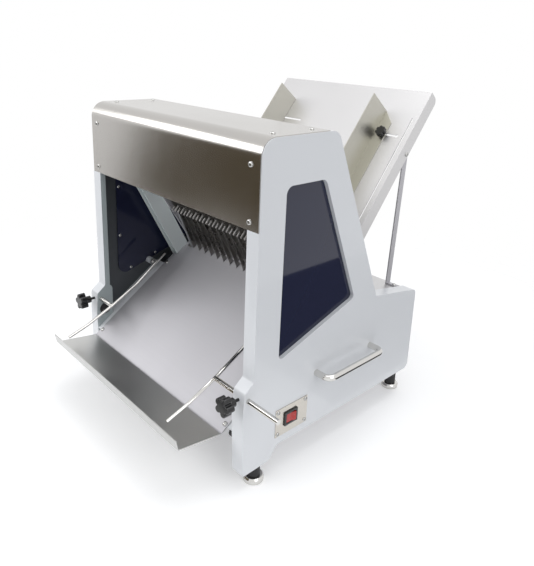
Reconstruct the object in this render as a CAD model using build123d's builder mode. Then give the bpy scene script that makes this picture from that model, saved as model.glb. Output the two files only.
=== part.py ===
from build123d import *
import math
import os

# Countertop bread slicer with crossing reciprocating blades.
# Units are millimetres. X runs across the machine (+X is the side with the switch), Y runs from
# the discharge side to the infeed side, and Z is up from the surface the feet stand on.
# Outlines give (y, z) with y measured from the front face of the hood; FRONT_Y moves that face so
# that the row's origin lies midway between the four feet.

# ---------------------------------------------------------------- driving dimensions
BODY_W = 560.0  # outer faces of the side panels
PANEL_DEPTH = 29.6  # width of a panel's rim across the machine
PANEL_WEB = 8.0
RIM_T = 12.0
COVER_LEDGE_T = 10.0
COVER_LEDGE_X = 230.0
COVER_BEND_R = 12.0
BOLT_IN = 17.0
BOLT_TAIL = 12.0
PAN_SIDE = (250.0, 340.0)  # flange's middle and length along Y
PAN_NOTCH = (46.0, 32.0)
BASE_Z = 62.0  # lower edge of the panels behind the front leg
LEG_Z = 34.0  # lower edge of the front leg
LEG_FRONT_Y = -20.0
LUG_FRONT_Y = -24.0
LUG_TOP_Z = 221.0
LUG_BACK_Y = 18.0
HOOD_BOTTOM_Z = 493.0
HOOD_TOP_Z = 648.0
HOOD_BACK_Y = 160.0
HOOD_R = 32.0
HOOD_T = 1.5
HOOD_LIP = 14.0
HOOD_INSET = 2.0
PANEL_TOP_Y = 182.0
BACK_Y = 491.0
BACK_Z = 261.0
NECK_Y = 339.0
NECK_Z = 288.0
SHEET_T = 1.5
TRAY_T = 2.0
SIDE_GAP = 0.6  # sheet edge to panel rim

WINDOW = [(58, 240), (264, 307), (156, 563), (59, 563)]
WINDOW_R = [9, 9, 15, 15]
PANE_T = 4.0
PANE_LAP = 11.0
PANE_SCREW_D = 3.0
PANE_SCREW_IN = 5.0  # screw rows from the opening's edge

# blades: two frames that cross in an X, sliding along one slope
BLADE_COUNT = 33
BLADE_PITCH = 12.0
BLADE_W = 12.0
BLADE_T = 0.8
SLIDE_ANGLE = 62.0
SLOT_Y = 224.0  # where the slide line meets the discharge plate
BLADE_LEAN = 5.0
CROSS_T = 65.0
TOP_BAR_T = 300.0
LOW_BAR_T = -45.0
BAR = 16.0
SIDE_BAR_W = 12.0
SIDE_BAR_T = 6.0
SIDE_BAR_GAP = 3.0
BLADE_MARGIN = 5.0  # outermost blade to the inner side bar
SHOE_W = 10.0
SHOE_L = 46.0
SHOE_TOP_T = 252.0
SHOE_LOW_T = -48.0
GROOVE_DEPTH = 8.0
GUIDE_W = 11.0
GUIDE_LIP = 7.0
SLIDE_CLEARANCE = 0.3

# crank drive
CRANK_R = 15.0
SHAFT_D = 25.0
ECC_D = 62.0
ROD_T = 14.0
RING_W = 8.0
SMALL_END_R = 11.0
WRIST_D = 10.0
WRIST_HEAD_R = 9.0
WRIST_HEAD_H = 6.0
ROD_L = 65.0
ROD_CLEARANCE = 2.0  # rod tops to the blade ends, however the frames stand
LUG_T = 10.0
ROD_A_X = 70.0
ROD_B_X = 110.0
RUN_CLEARANCE = 0.05
PIVOT_GAP = 0.5
ROD_FOOT = 14.0
BLADE_END = 10.0
BLADE_CROSSBAR = 7.0
BEARING_D = 52.0
BEARING_T = 15.0
BOSS_WALL = 6.0
PULLEY_X = -165.0
PULLEY_W = 18.0
BELT_W = 10.0
BELT_OUT = 3.0  # belt outside its pitch line
BELT_IN = 5.0
MAIN_HUB = (42.0, 10.0)
MOTOR_HUB = (28.0, 6.0)
PULLEY_HOLES = 6
PULLEY_WEB = 20.0  # a web at least this deep gets holes
MAIN_PITCH_R = 54.0
MOTOR_PITCH_R = 27.0
BELT_CLEARANCE = 0.4
MOTOR_Y = 422.0
MOTOR_Z = 150.0
MOTOR_D = 116.0
MOTOR_L = 190.0
MOTOR_FACE_X = -130.0
MOTOR_SHAFT_D = 14.0

# rails that carry the frames' guides
RAIL_FACE_X = 225.0
RAIL_N = (-44.7, -6.0)
RAIL_T = (-110.0, 345.0)
RAIL_WALL = 4.0
RAIL_SCREW_L = 5.0
RAIL_BOLT_L = 20.0
RAIL_BOLT_D = 6.0
RAIL_HEAD_H = 5.0
RAIL_BOSS_N = -31.0
RAIL_BOSS_T = (318.0, -60.0, -96.0)
RAIL_BOSS_R = 9.0

# discharge tray
TRAY_HALF_W = 237.0
TRAY_ANGLE = 35.0
TRAY_FOLD = (-36.0, 110.0)
TRAY_LIP_FOLD = (-129.0, 123.0)
TRAY_LIP_TOP = (-133.0, 143.0)
TRAY_EDGE = 12.0
LEDGE_T = 6.0
SLIT_W = 2.6

# infeed tray
INFEED_HALF_W = 226.0
INFEED_ANGLE = 51.3
INFEED_POINT = (335.4, 421.9)
INFEED_TOP_S = 349.0
INFEED_SIDE = 30.0
INFEED_LIP = 14.0
EDGE_SLOT_X = 212.0
EDGE_SLOT_S = (-40.0, 278.0)
EDGE_SLOT_W = 3.0
GUIDE_RIGHT_X = 137.0
GUIDE_LEFT_X = 152.0
GUIDE_S = (-128.0, 287.0)
GUIDE_H = 68.0
GUIDE_FOOT = 30.0
GUIDE_CORNER = 29.0
GUIDE_KNOB_S = 228.0
GUIDE_KNOB_X = 22.0  # knob axis from the guide plate
GUIDE_OUT = 35.0  # travel away from the middle
GUIDE_IN = 60.0
CROSS_SLOT_W = 4.6
CROSS_SLOT_END_R = 3.6

STRUT_X = 221.0
STRUT_W = 15.0
STRUT_T = 3.0
STRUT_TOP = (479.0, 564.0)
STRUT_FOOT = 28.0
STRUT_FOOT_Y = 462.0

# guide rods and their clamps
PIN_Y = -12.0
PIN_Z = 189.0
PIN_D = 10.0
ROD_D = 6.5
ROD_RIGHT_X = 186.0
ROD_LEFT_X = -200.0
PIN_OUT_RIGHT = 356.0
PIN_OUT_LEFT = -287.0
ROD_BEND_R = 30.0
ROD_POINTS = [(-118, 145), (-72, 161), (PIN_Y, PIN_Z), (54, 226), (134, 286)]
KNOB_X = 265.0
# knobs: (diameter, height, hub diameter, hub height, lobe radius, lobes)
CLAMP_KNOB = (37.0, 16.0, 17.0, 12.0, 6.5, 5)
GUIDE_KNOB = (25.0, 9.0, 13.0, 4.0, 4.2, 7)
GUIDE_STUD_D = 4.0
KNOB_ROUNDING = 0.15
STUD_D = 6.0
CLAMP_STUD = 9.0  # stud showing between the lug and the knob

# feet
FOOT_D = 40.0
FOOT_H = 12.0
FOOT_STUD_D = 10.0
FOOT_FRONT = (265.0, 20.0)
FOOT_REAR = (246.0, 478.0)
FOOT_SLEEVE_D = 25.0
FOOT_STUD_IN = 20.0

# switch and handles
PLATE = (57.0, 141.0, 79.0, 137.0)
PLATE_T = 1.5
BEZEL_CENTRE = (95.5, 110.5)
BEZEL = (34.0, 28.0)
BEZEL_LIP = 2.5
SWITCH_DEPTH = 24.0
ROCKER_TILT = -9.0
HANDLE_Y = (163.0, 331.0)
HANDLE_Z = 177.0
HANDLE_D = 13.0
HANDLE_OUT = 34.0
HANDLE_R = 15.0

# bars and ties between the panels, (y, z) of their axes
TIE_D = 20.0
TIE_TOP = (146.0, 612.0)
TIE_FRONT = (30.0, 92.0)
TIE_S = -81.0  # under the infeed tray
TIE_BOSS_R = 14.0
RIDGE_BAR = 16.0
RIDGE_BAR_GAP = 4.0
COMB_H = 130.5  # upper comb over the infeed plane
COMB_FRONT_S = -138.8
COMB_BAR_S = -18.0
COMB_BAR = (20.0, 12.0)
FINGER_D = 5.0

REST_GAP = 0.3  # sliding faces
SHAFT_END_IN = 2.0
MOTOR_STRIP = (30.0, 110.0)  # foot strips under the motor
MOTOR_SADDLE = 0.6  # saddle width over the housing's diameter
MOTOR_BOX = (60.0, 50.0, 18.0)  # terminal box
MOTOR_EDGE_R = 8.0
MOTOR_FOOT_T = 8.0
MOTOR_BORE = 60.0
BEZEL_H = 3.0
ROCKER_DEPTH = 12.0
ROCKER_AXIS_IN = 4.0
ROCKER_TOP = 5.0
ROCKER_DISH = 1.6
ROCKER_PIN_D = 3.0
# rubber on each lug's inner face, ((y, z), diameter, length): a plug and a buffer under the tray
LUG_RUBBERS = [((-3.0, 163.0), 27.0, 3.0), ((-12.0, 104.0), 16.0, 13.0)]
RAIL_SCREW_T = (60.0, 115.0, 170.0)
NUT_T = 5.0
NUT_W = 12.0
LEFT_OUT = 20.0
LEFT_IN = 75.0
STRUT_END = 9.0
STRUT_SCREW_IN = 9.0
BAR_SLOT_X = 1.8
PAN_FLANGE = 18.0
PAN_FRONT_Y = 66.0
GLAND = (-200.0, 110.0)
GLAND_D = 16.0
VENT_X = 90.0
VENT_Z = 110.0
VENT_L = 120.0
VENT_H = 5.0
VENT_PITCH = 14.0
VENT_ROWS = 6

# seats of the screws
HOOD_FRONT_SCREWS = [(255, 603), (255, 507)]  # (x, z)
HOOD_TOP_SCREWS = [(252, 48), (252, 140)]  # (x, y)
TRAY_SCREW_X = 230.0
TRAY_SCREW_Y = (-22.0, 160.0)
COVER_SCREW = (241.0, 36.0)  # (x, distance from the neck)
PLATE_SCREW_IN = 6.0
WINDOW_SCREWS = [
    (WINDOW[0][0] - PANE_SCREW_IN, 330),
    (WINDOW[0][0] - PANE_SCREW_IN, 450),
    (80, WINDOW[2][1] + PANE_SCREW_IN),
    (140, WINDOW[2][1] + PANE_SCREW_IN),
    (183, 510),
    (226, 408),
    (236, 298 - PANE_SCREW_IN),
    (150, 270 - PANE_SCREW_IN),
    (80, 247 - PANE_SCREW_IN),
]
SCREW_D = 5.0
SCREW_HEAD_D = 9.6
SCREW_HEAD_H = 2.8
SCREW_L = 12.0
COVER_SCREW_L = 7.0
PLATE_SCREW_L = 10.0
SMALL_HEAD_D = 8.0
SMALL_HEAD_H = 2.0
PANE_HEAD_D = 7.0

# ledges inside the panels, (centre along the sheet, length)
TRAY_LEDGE = (125.0, 220.0)
INFEED_LEDGE = (41.0, 34.0)  # counted from the ridge
COVER_LEDGE = (82.0, 126.0)
FOOT_BLOCK = (44.0, 28.0, 30.0)
FOOT_BLOCK_AT = (FOOT_REAR[0] + 6, FOOT_REAR[1] - 5)
BOLT_POINT = (131.0, 250.0)  # hexagon bolt through each panel, just over the tray
BOLT_D = 8.0
BOLT_HEAD_H = 6.4

# ---------------------------------------------------------------- values that follow
FRONT_Y = -(FOOT_FRONT[1] + FOOT_REAR[1]) / 2
OUT_X = BODY_W / 2
RIM_X = OUT_X - PANEL_DEPTH
WEB_X = OUT_X - PANEL_WEB
tan_tray = math.tan(math.radians(TRAY_ANGLE))
tan_infeed = math.tan(math.radians(INFEED_ANGLE))
sin_slide = math.sin(math.radians(SLIDE_ANGLE))
cos_slide = math.cos(math.radians(SLIDE_ANGLE))


def tray_z(y):
    """Height of the discharge plate's top face."""
    return TRAY_FOLD[1] + (y - TRAY_FOLD[0]) * tan_tray


SLOT_Z = tray_z(SLOT_Y)
ridge_rise = INFEED_POINT[1] - TRAY_FOLD[1]
RIDGE_Y = (INFEED_POINT[0] * tan_infeed - TRAY_FOLD[0] * tan_tray - ridge_rise) / (tan_infeed - tan_tray)
RIDGE_S = (RIDGE_Y - INFEED_POINT[0]) / math.cos(math.radians(INFEED_ANGLE))


def slide_point(n, t):
    """(y, z) of a point n behind and t along the slide line."""
    return (SLOT_Y + n * sin_slide - t * cos_slide, SLOT_Z + n * cos_slide + t * sin_slide)


SMALL_T = LOW_BAR_T - (BAR + BLADE_END) / 2 - 2 * CRANK_R - ROD_CLEARANCE - SMALL_END_R
SHAFT_T = SMALL_T - ROD_L
SHAFT_Y, SHAFT_Z = slide_point(0, SHAFT_T)
lean = math.radians(BLADE_LEAN)
LOW_WRIST_N = -(CROSS_T - LOW_BAR_T) * math.tan(lean)
BLADE_X = [(i - (BLADE_COUNT - 1) / 2) * BLADE_PITCH for i in range(BLADE_COUNT)]
INNER_BAR_X = BLADE_X[-1] + BLADE_MARGIN
OUTER_BAR_X = INNER_BAR_X + SIDE_BAR_T + SIDE_BAR_GAP
COVER_HALF_W = RIM_X - SIDE_GAP
COVER_TOP_Y = NECK_Y - 14
COVER_BACK_Y = BACK_Y - 1
COVER_DROP = 3.0  # cover lies this far under the panels' top edge
COVER_ANGLE = math.degrees(math.atan2(BACK_Z - NECK_Z, BACK_Y - NECK_Y))
LEDGE_X = TRAY_HALF_W - TRAY_EDGE
KNOB_SEAT_Y = LUG_FRONT_Y - CLAMP_STUD


# ---------------------------------------------------------------- planes
def side(x=0.0):
    """Profile plane: local (y, z), facing +X."""
    return Plane(origin=(x, FRONT_Y, 0), x_dir=(0, 1, 0), z_dir=(1, 0, 0))


def front(y=0.0):
    """Plane facing the front: local (x, z)."""
    return Plane(origin=(0, FRONT_Y + y, 0), x_dir=(1, 0, 0), z_dir=(0, -1, 0))


def level(z=0.0):
    """Horizontal plane: local (x, y)."""
    return Plane(origin=(0, FRONT_Y, z), x_dir=(1, 0, 0), z_dir=(0, 0, 1))


def slide(x=0.0):
    """Profile plane along the slide line: local (n, t), facing +X."""
    return Plane(
        origin=(x, FRONT_Y + SLOT_Y, SLOT_Z), x_dir=(0, sin_slide, cos_slide), z_dir=(1, 0, 0)
    )


def leaning(sign, x=0.0):
    """Profile plane of one blade frame: local y runs along its blades from the crossing."""
    return Plane(slide(x).location * Location((0, CROSS_T, 0), (0, 0, -sign * BLADE_LEAN)))


def infeed(x=0.0):
    """Profile plane along the infeed tray: local (s, height over the tray)."""
    a = math.radians(INFEED_ANGLE)
    return Plane(
        origin=(x, FRONT_Y + INFEED_POINT[0], INFEED_POINT[1]),
        x_dir=(0, math.cos(a), math.sin(a)),
        z_dir=(1, 0, 0),
    )


def infeed_face(height=0.0):
    """Plane on the infeed tray, seen from above: local (x, s)."""
    a = math.radians(INFEED_ANGLE)
    up = Vector(0, -math.sin(a), math.cos(a))
    start = Vector(0, FRONT_Y + INFEED_POINT[0], INFEED_POINT[1]) + up * height
    return Plane(origin=start, x_dir=(1, 0, 0), z_dir=up)


def tray_face(height=0.0):
    """Plane on the discharge plate, seen from above: local (x, distance from the main fold)."""
    a = math.radians(TRAY_ANGLE)
    up = Vector(0, -math.sin(a), math.cos(a))
    start = Vector(0, FRONT_Y + TRAY_FOLD[0], TRAY_FOLD[1]) + up * height
    return Plane(origin=start, x_dir=(1, 0, 0), z_dir=up)


def cover_z(y):
    """Top face of the sloping cover."""
    slope = (BACK_Z - NECK_Z) / (BACK_Y - NECK_Y)
    return NECK_Z - COVER_DROP + (y - NECK_Y) * slope


def cover_face():
    """Plane on the sloping cover, seen from above: local (x, distance from the neck)."""
    a = math.radians(COVER_ANGLE)
    return Plane(
        origin=(0, FRONT_Y + NECK_Y, cover_z(NECK_Y)),
        x_dir=(1, 0, 0),
        z_dir=(0, -math.sin(a), math.cos(a)),
    )


# ---------------------------------------------------------------- shared shapes
def finish(part, name):
    part.label = name
    export_step(part, f"parts/{name}.step")


def finish_pair(part, name):
    """Write the part on +X as NAME_right and its mirror image as NAME_left."""
    finish(part, name + "_right")
    finish(mirror(part, about=Plane.YZ), name + "_left")


def finish_both(part, name):
    """Write a group of two: the part on +X and its mirror image."""
    with BuildPart() as group:
        add(part)
        mirror(part, about=Plane.YZ)
    finish(group.part, name)


def polygon(points, radii=0.0):
    with BuildLine() as line:
        FilletPolyline(*points, radius=radii, close=True)
    return make_face(line.edges(), mode=Mode.ADD)


def sheet_profile(points, radii, thickness, side_of):
    """Cross-section of a bent sheet whose outer face follows the points."""
    with BuildLine() as line:
        FilletPolyline(*points, radius=radii)
        offset(amount=thickness, side=side_of)
    return make_face(line.edges(), mode=Mode.ADD)


def screws(seats, name, length=SCREW_L, head_d=SCREW_HEAD_D, head_h=SCREW_HEAD_H, shank_d=SCREW_D):
    """Pan-head screws, each on a plane whose origin is its seat and whose z points out."""
    with BuildPart() as group:
        for seat in seats:
            with BuildSketch(Plane(seat.origin, x_dir=seat.x_dir, z_dir=-seat.y_dir)):
                with BuildLine():
                    Polyline(
                        (0, -length),
                        (shank_d / 2, -length),
                        (shank_d / 2, 0),
                        (head_d / 2, 0),
                        (head_d / 2, head_h * 0.4),
                        (head_d * 0.4, head_h * 0.8),
                        (head_d * 0.25, head_h),
                        (0, head_h),
                        close=True,
                    )
                make_face()
            revolve(axis=Axis(seat.origin, seat.z_dir))
    finish(group.part, name)


def drill(seats, diameter=SCREW_D, depth=60.0, back=0.01):
    """Cut a straight hole inwards from each seat."""
    for seat in seats:
        with BuildSketch(seat.offset(back)) as hole:
            Circle(diameter / 2)
        extrude(hole.sketch, amount=-depth - back, mode=Mode.SUBTRACT)


def on(plane, points):
    """Copies of a plane with their origins at local points."""
    return [Plane(plane.from_local_coords(Vector(a, b, 0)), x_dir=plane.x_dir, z_dir=plane.z_dir)
            for a, b in points]


def mirrored(seats):
    """The seats on +X and their mirror images."""

    def image(v):
        return Vector(-v.X, v.Y, v.Z)

    return seats + [
        Plane(image(seat.origin), x_dir=image(seat.x_dir), z_dir=image(seat.z_dir)) for seat in seats
    ]


def both_sides(points):
    return [(sign * x, b) for x, b in points for sign in (-1, 1)]


def star_knob(seat, shape):
    """Star knob standing on a seat plane, with its hub."""
    diameter, height, hub_d, hub_h, lobe_r, lobes = shape
    lobe_ring = diameter / 2 - lobe_r
    with BuildPart() as knob:
        with BuildSketch(seat):
            Circle(hub_d / 2)
        extrude(amount=hub_h)
        with BuildSketch(seat.offset(hub_h)):
            Circle(lobe_ring)
            with PolarLocations(lobe_ring, lobes):
                Circle(lobe_r)
        extrude(amount=height)
        top = knob.faces().sort_by(Axis(seat.origin, seat.z_dir))[-1]
        fillet(top.edges(), radius=height * KNOB_ROUNDING)
    return knob


os.makedirs("parts", exist_ok=True)

# ---------------------------------------------------------------- seats of the screws
hood_front_seats = on(front(0), both_sides(HOOD_FRONT_SCREWS))
hood_top_seats = on(level(HOOD_TOP_Z), both_sides(HOOD_TOP_SCREWS))
tray_screw_d = [(y - TRAY_FOLD[0]) / math.cos(math.radians(TRAY_ANGLE)) for y in TRAY_SCREW_Y]
tray_seats = on(tray_face(), both_sides([(TRAY_SCREW_X, d) for d in tray_screw_d]))
cover_seats = on(cover_face(), both_sides([COVER_SCREW]))
strut_foot_d = (STRUT_FOOT_Y - NECK_Y) / math.cos(math.radians(COVER_ANGLE))
strut_foot_seats = on(
    cover_face().offset(STRUT_T), both_sides([(STRUT_X + STRUT_FOOT - STRUT_SCREW_IN, strut_foot_d)])
)
strut_top_seats = mirrored(on(side(INFEED_HALF_W), [STRUT_TOP]))
window_seats = on(side(WEB_X - PANE_T), WINDOW_SCREWS)
window_seats = [Plane(p.origin, x_dir=p.x_dir, z_dir=-p.z_dir) for p in window_seats]
plate_screw_points = [
    (y, z)
    for y in (PLATE[0] + PLATE_SCREW_IN, PLATE[1] - PLATE_SCREW_IN)
    for z in (PLATE[2] + PLATE_SCREW_IN, PLATE[3] - PLATE_SCREW_IN)
]
plate_seats = on(side(OUT_X + PLATE_T), plate_screw_points)

rail_bolt_seats = [
    Plane((RIM_X - RAIL_WALL, FRONT_Y + y, z), x_dir=(0, 1, 0), z_dir=(-1, 0, 0))
    for y, z in (slide_point(RAIL_BOSS_N, t) for t in RAIL_BOSS_T)
]
rail_web_plane = Plane(
    slide((RAIL_FACE_X + RIM_X) / 2).from_local_coords(Vector(RAIL_N[1] - RAIL_WALL, 0, 0)),
    x_dir=(1, 0, 0),
    z_dir=-slide().x_dir,
)
rail_screw_seats = on(rail_web_plane, [(0, t) for t in RAIL_SCREW_T])

# ---------------------------------------------------------------- side panels
PANEL = [
    ((HOOD_T, HOOD_TOP_Z - HOOD_T), HOOD_R - HOOD_T),
    ((HOOD_T, HOOD_BOTTOM_Z), 0),
    ((0, HOOD_BOTTOM_Z), 0),
    ((0, LUG_TOP_Z), 8),
    ((LUG_FRONT_Y + 3, LUG_TOP_Z - 17), 10),
    ((LUG_FRONT_Y, PIN_Z - 39), 40),
    ((LEG_FRONT_Y, LEG_Z), 3),
    ((44, LEG_Z + 2), 16),
    ((64, BASE_Z), 8),
    ((BACK_Y, BASE_Z), 14),
    ((BACK_Y, BACK_Z), 13),
    ((NECK_Y, NECK_Z), 8),
    ((PANEL_TOP_Y, HOOD_TOP_Z - HOOD_T), 26),
]
panel_points = [point for point, _ in PANEL]
panel_radii = [radius for _, radius in PANEL]

rail_bosses = [slide_point(RAIL_BOSS_N, t) for t in RAIL_BOSS_T]


def infeed_point(s, h):
    """(y, z) of a point s along the infeed tray and h over it."""
    point = infeed().from_local_coords(Vector(s, h, 0))
    return (point.Y - FRONT_Y, point.Z)


comb_boss = infeed_point(COMB_BAR_S, COMB_H)
tie_under = infeed_point(TIE_S, -TRAY_T - TIE_D / 2)
ridge_bar = infeed_point(RIDGE_S + RIDGE_BAR_GAP + RIDGE_BAR / 2, -TRAY_T - RIDGE_BAR / 2)
TIES = [TIE_TOP, TIE_FRONT, tie_under]

with BuildPart() as panel:
    with BuildSketch(side(RIM_X)):
        polygon(panel_points, panel_radii)
        offset(amount=-RIM_T, mode=Mode.SUBTRACT)
    extrude(amount=PANEL_DEPTH)
    with BuildSketch(side(WEB_X)):
        polygon(panel_points, panel_radii)
    extrude(amount=PANEL_WEB)
    with BuildSketch(side(RIM_X)):
        polygon(panel_points, panel_radii)
        with BuildLine(mode=Mode.PRIVATE) as leg:
            FilletPolyline(
                (LUG_FRONT_Y - 1, LEG_Z - 1),
                (46, LEG_Z - 1),
                (46, BASE_Z + 24),
                (LUG_BACK_Y, BASE_Z + 60),
                (LUG_BACK_Y, LUG_TOP_Z),
                (LUG_FRONT_Y - 1, LUG_TOP_Z),
                radius=[0, 0, 10, 10, 14, 0],
                close=True,
            )
        make_face(leg.edges(), mode=Mode.INTERSECT)
    extrude(amount=PANEL_DEPTH)
    with BuildSketch(side(RIM_X)):
        for boss in TIES + [ridge_bar, comb_boss]:
            with Locations(boss):
                Circle(TIE_BOSS_R)
        for boss in rail_bosses:
            with Locations(boss):
                Circle(RAIL_BOSS_R)
        with Locations(BOLT_POINT):
            Circle(BOLT_D)
        with Locations((SHAFT_Y, SHAFT_Z)):
            Circle(BEARING_D / 2 + BOSS_WALL)
    extrude(amount=PANEL_DEPTH - PANEL_WEB)
    # ledges that carry the discharge tray, the infeed tray and the rear cover
    with BuildSketch(Plane(side(LEDGE_X).location * Location((*TRAY_FOLD, 0), (0, 0, TRAY_ANGLE)))):
        with Locations((TRAY_LEDGE[0], -TRAY_T - LEDGE_T / 2)):
            Rectangle(TRAY_LEDGE[1], LEDGE_T)
    extrude(amount=WEB_X - LEDGE_X)
    with BuildSketch(infeed(INFEED_HALF_W - TRAY_EDGE)):
        with Locations((RIDGE_S + INFEED_LEDGE[0], -TRAY_T - LEDGE_T / 2)):
            Rectangle(INFEED_LEDGE[1], LEDGE_T)
    extrude(amount=WEB_X - INFEED_HALF_W + TRAY_EDGE)
    cover_start = Location((NECK_Y, cover_z(NECK_Y), 0), (0, 0, COVER_ANGLE))
    with BuildSketch(Plane(side(COVER_LEDGE_X).location * cover_start)):
        with Locations((COVER_LEDGE[0], -SHEET_T - COVER_LEDGE_T / 2)):
            Rectangle(COVER_LEDGE[1], COVER_LEDGE_T)
    extrude(amount=WEB_X - COVER_LEDGE_X)
    # rear foot block
    with BuildSketch(level(BASE_Z)):
        with Locations(FOOT_BLOCK_AT):
            Rectangle(FOOT_BLOCK[0], FOOT_BLOCK[1])
    extrude(amount=FOOT_BLOCK[2])
    # recess for the window pane
    with BuildSketch(side(WEB_X - PANE_T)):
        polygon(WINDOW, WINDOW_R)
        offset(amount=PANE_LAP + REST_GAP)
    extrude(amount=PANE_T, mode=Mode.SUBTRACT)
    # window, pin bore, clamp bore and foot bores
    with BuildSketch(side(WEB_X)):
        polygon(WINDOW, WINDOW_R)
    extrude(amount=PANEL_WEB, mode=Mode.SUBTRACT)
    with BuildSketch(side(RIM_X)):
        with Locations((PIN_Y, PIN_Z)):
            Circle(PIN_D / 2 + RUN_CLEARANCE)
    extrude(amount=PANEL_DEPTH, mode=Mode.SUBTRACT)
    with BuildSketch(front(LUG_FRONT_Y - 1)):
        with Locations((KNOB_X, PIN_Z)):
            Circle(STUD_D / 2 + RUN_CLEARANCE)
    extrude(amount=LUG_FRONT_Y - PIN_Y, mode=Mode.SUBTRACT)
    for foot, foot_z in ((FOOT_FRONT, LEG_Z), (FOOT_REAR, BASE_Z)):
        with BuildSketch(level(foot_z)):
            with Locations(foot):
                Circle(FOOT_STUD_D / 2 + RUN_CLEARANCE)
        extrude(amount=FOOT_STUD_IN + 2, mode=Mode.SUBTRACT)
    with BuildSketch(side(RIM_X)):
        with Locations((SHAFT_Y, SHAFT_Z)):
            Circle(BEARING_D / 2)
    extrude(amount=BEARING_T, mode=Mode.SUBTRACT)
    with BuildSketch(side(RIM_X)):
        with Locations(BOLT_POINT):
            Circle(BOLT_D / 2)
    extrude(amount=BOLT_IN, mode=Mode.SUBTRACT)
    with BuildSketch(side(RIM_X)):
        for boss in rail_bosses:
            with Locations(boss):
                Circle(RAIL_BOLT_D / 2)
    extrude(amount=RAIL_BOLT_L - RAIL_WALL, mode=Mode.SUBTRACT)
    drill(hood_front_seats + hood_top_seats, depth=SCREW_L + 3)
    drill(tray_seats, depth=SCREW_L)
    drill(cover_seats + strut_foot_seats, depth=SCREW_L)
    drill(window_seats, diameter=PANE_SCREW_D, depth=PANE_T + 5)

with BuildPart() as panel_right:
    add(panel)
    with BuildSketch(side(OUT_X)):
        with Locations(BEZEL_CENTRE):
            Rectangle(BEZEL[0] - 2 * BEZEL_LIP, BEZEL[1] - 2 * BEZEL_LIP)
    extrude(amount=-SWITCH_DEPTH, mode=Mode.SUBTRACT)
    drill(plate_seats, depth=SCREW_L)
finish(panel_right.part, "side_panel_right")
finish(mirror(panel.part, about=Plane.YZ), "side_panel_left")

# ---------------------------------------------------------------- windows
with BuildPart() as pane:
    with BuildSketch(side(WEB_X - PANE_T)):
        polygon(WINDOW, WINDOW_R)
        offset(amount=PANE_LAP)
    extrude(amount=PANE_T)
    drill(window_seats, diameter=PANE_SCREW_D, depth=PANE_T + 1, back=1)
finish_both(pane.part, "window_panes")

# ---------------------------------------------------------------- hood
with BuildPart() as hood:
    with BuildSketch(side()):
        sheet_profile(
            [(0, HOOD_BOTTOM_Z), (0, HOOD_TOP_Z), (HOOD_BACK_Y, HOOD_TOP_Z)], [HOOD_R], HOOD_T, Side.RIGHT
        )
    extrude(amount=OUT_X - HOOD_INSET, both=True)
    with BuildSketch(side()):
        with Locations((HOOD_BACK_Y - HOOD_T / 2, HOOD_TOP_Z - HOOD_LIP / 2)):
            Rectangle(HOOD_T, HOOD_LIP)
    extrude(amount=RIM_X - SIDE_GAP, both=True)
    drill(hood_front_seats + hood_top_seats, depth=HOOD_T + 1)
finish(hood.part, "hood")

# ---------------------------------------------------------------- ties and combs
with BuildPart() as ties:
    with BuildSketch(side()):
        for tie in TIES:
            with Locations(tie):
                Circle(TIE_D / 2)
    extrude(amount=RIM_X, both=True)
finish(ties.part, "tie_rods")

with BuildPart() as ridge:
    with BuildSketch(infeed()):
        with Locations((RIDGE_S + RIDGE_BAR_GAP + RIDGE_BAR / 2, -TRAY_T - RIDGE_BAR / 2)):
            Rectangle(RIDGE_BAR, RIDGE_BAR)
            offset(amount=-2, mode=Mode.SUBTRACT)
    extrude(amount=RIM_X, both=True)
finish(ridge.part, "ridge_bar")

finger_x = [(a + b) / 2 for a, b in zip(BLADE_X[:-1], BLADE_X[1:])]
with BuildPart() as comb_bar:
    with BuildSketch(infeed()):
        with Locations((COMB_BAR_S, COMB_H)):
            Rectangle(*COMB_BAR)
    extrude(amount=RIM_X, both=True)
    for x in finger_x:
        with BuildSketch(Plane(infeed(x).from_local_coords(Vector(COMB_FRONT_S, COMB_H, 0)),
                               x_dir=(1, 0, 0), z_dir=infeed().x_dir)):
            Circle(FINGER_D / 2)
        extrude(amount=COMB_BAR_S - COMB_FRONT_S + COMB_BAR[0] / 2, mode=Mode.SUBTRACT)
finish(comb_bar.part, "comb_bar")

with BuildPart() as fingers:
    for x in finger_x:
        with BuildSketch(Plane(infeed(x).from_local_coords(Vector(COMB_FRONT_S, COMB_H, 0)),
                               x_dir=(1, 0, 0), z_dir=infeed().x_dir)):
            Circle(FINGER_D / 2)
        extrude(amount=COMB_BAR_S - COMB_FRONT_S + COMB_BAR[0] / 2)
finish(fingers.part, "comb_fingers")

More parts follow.
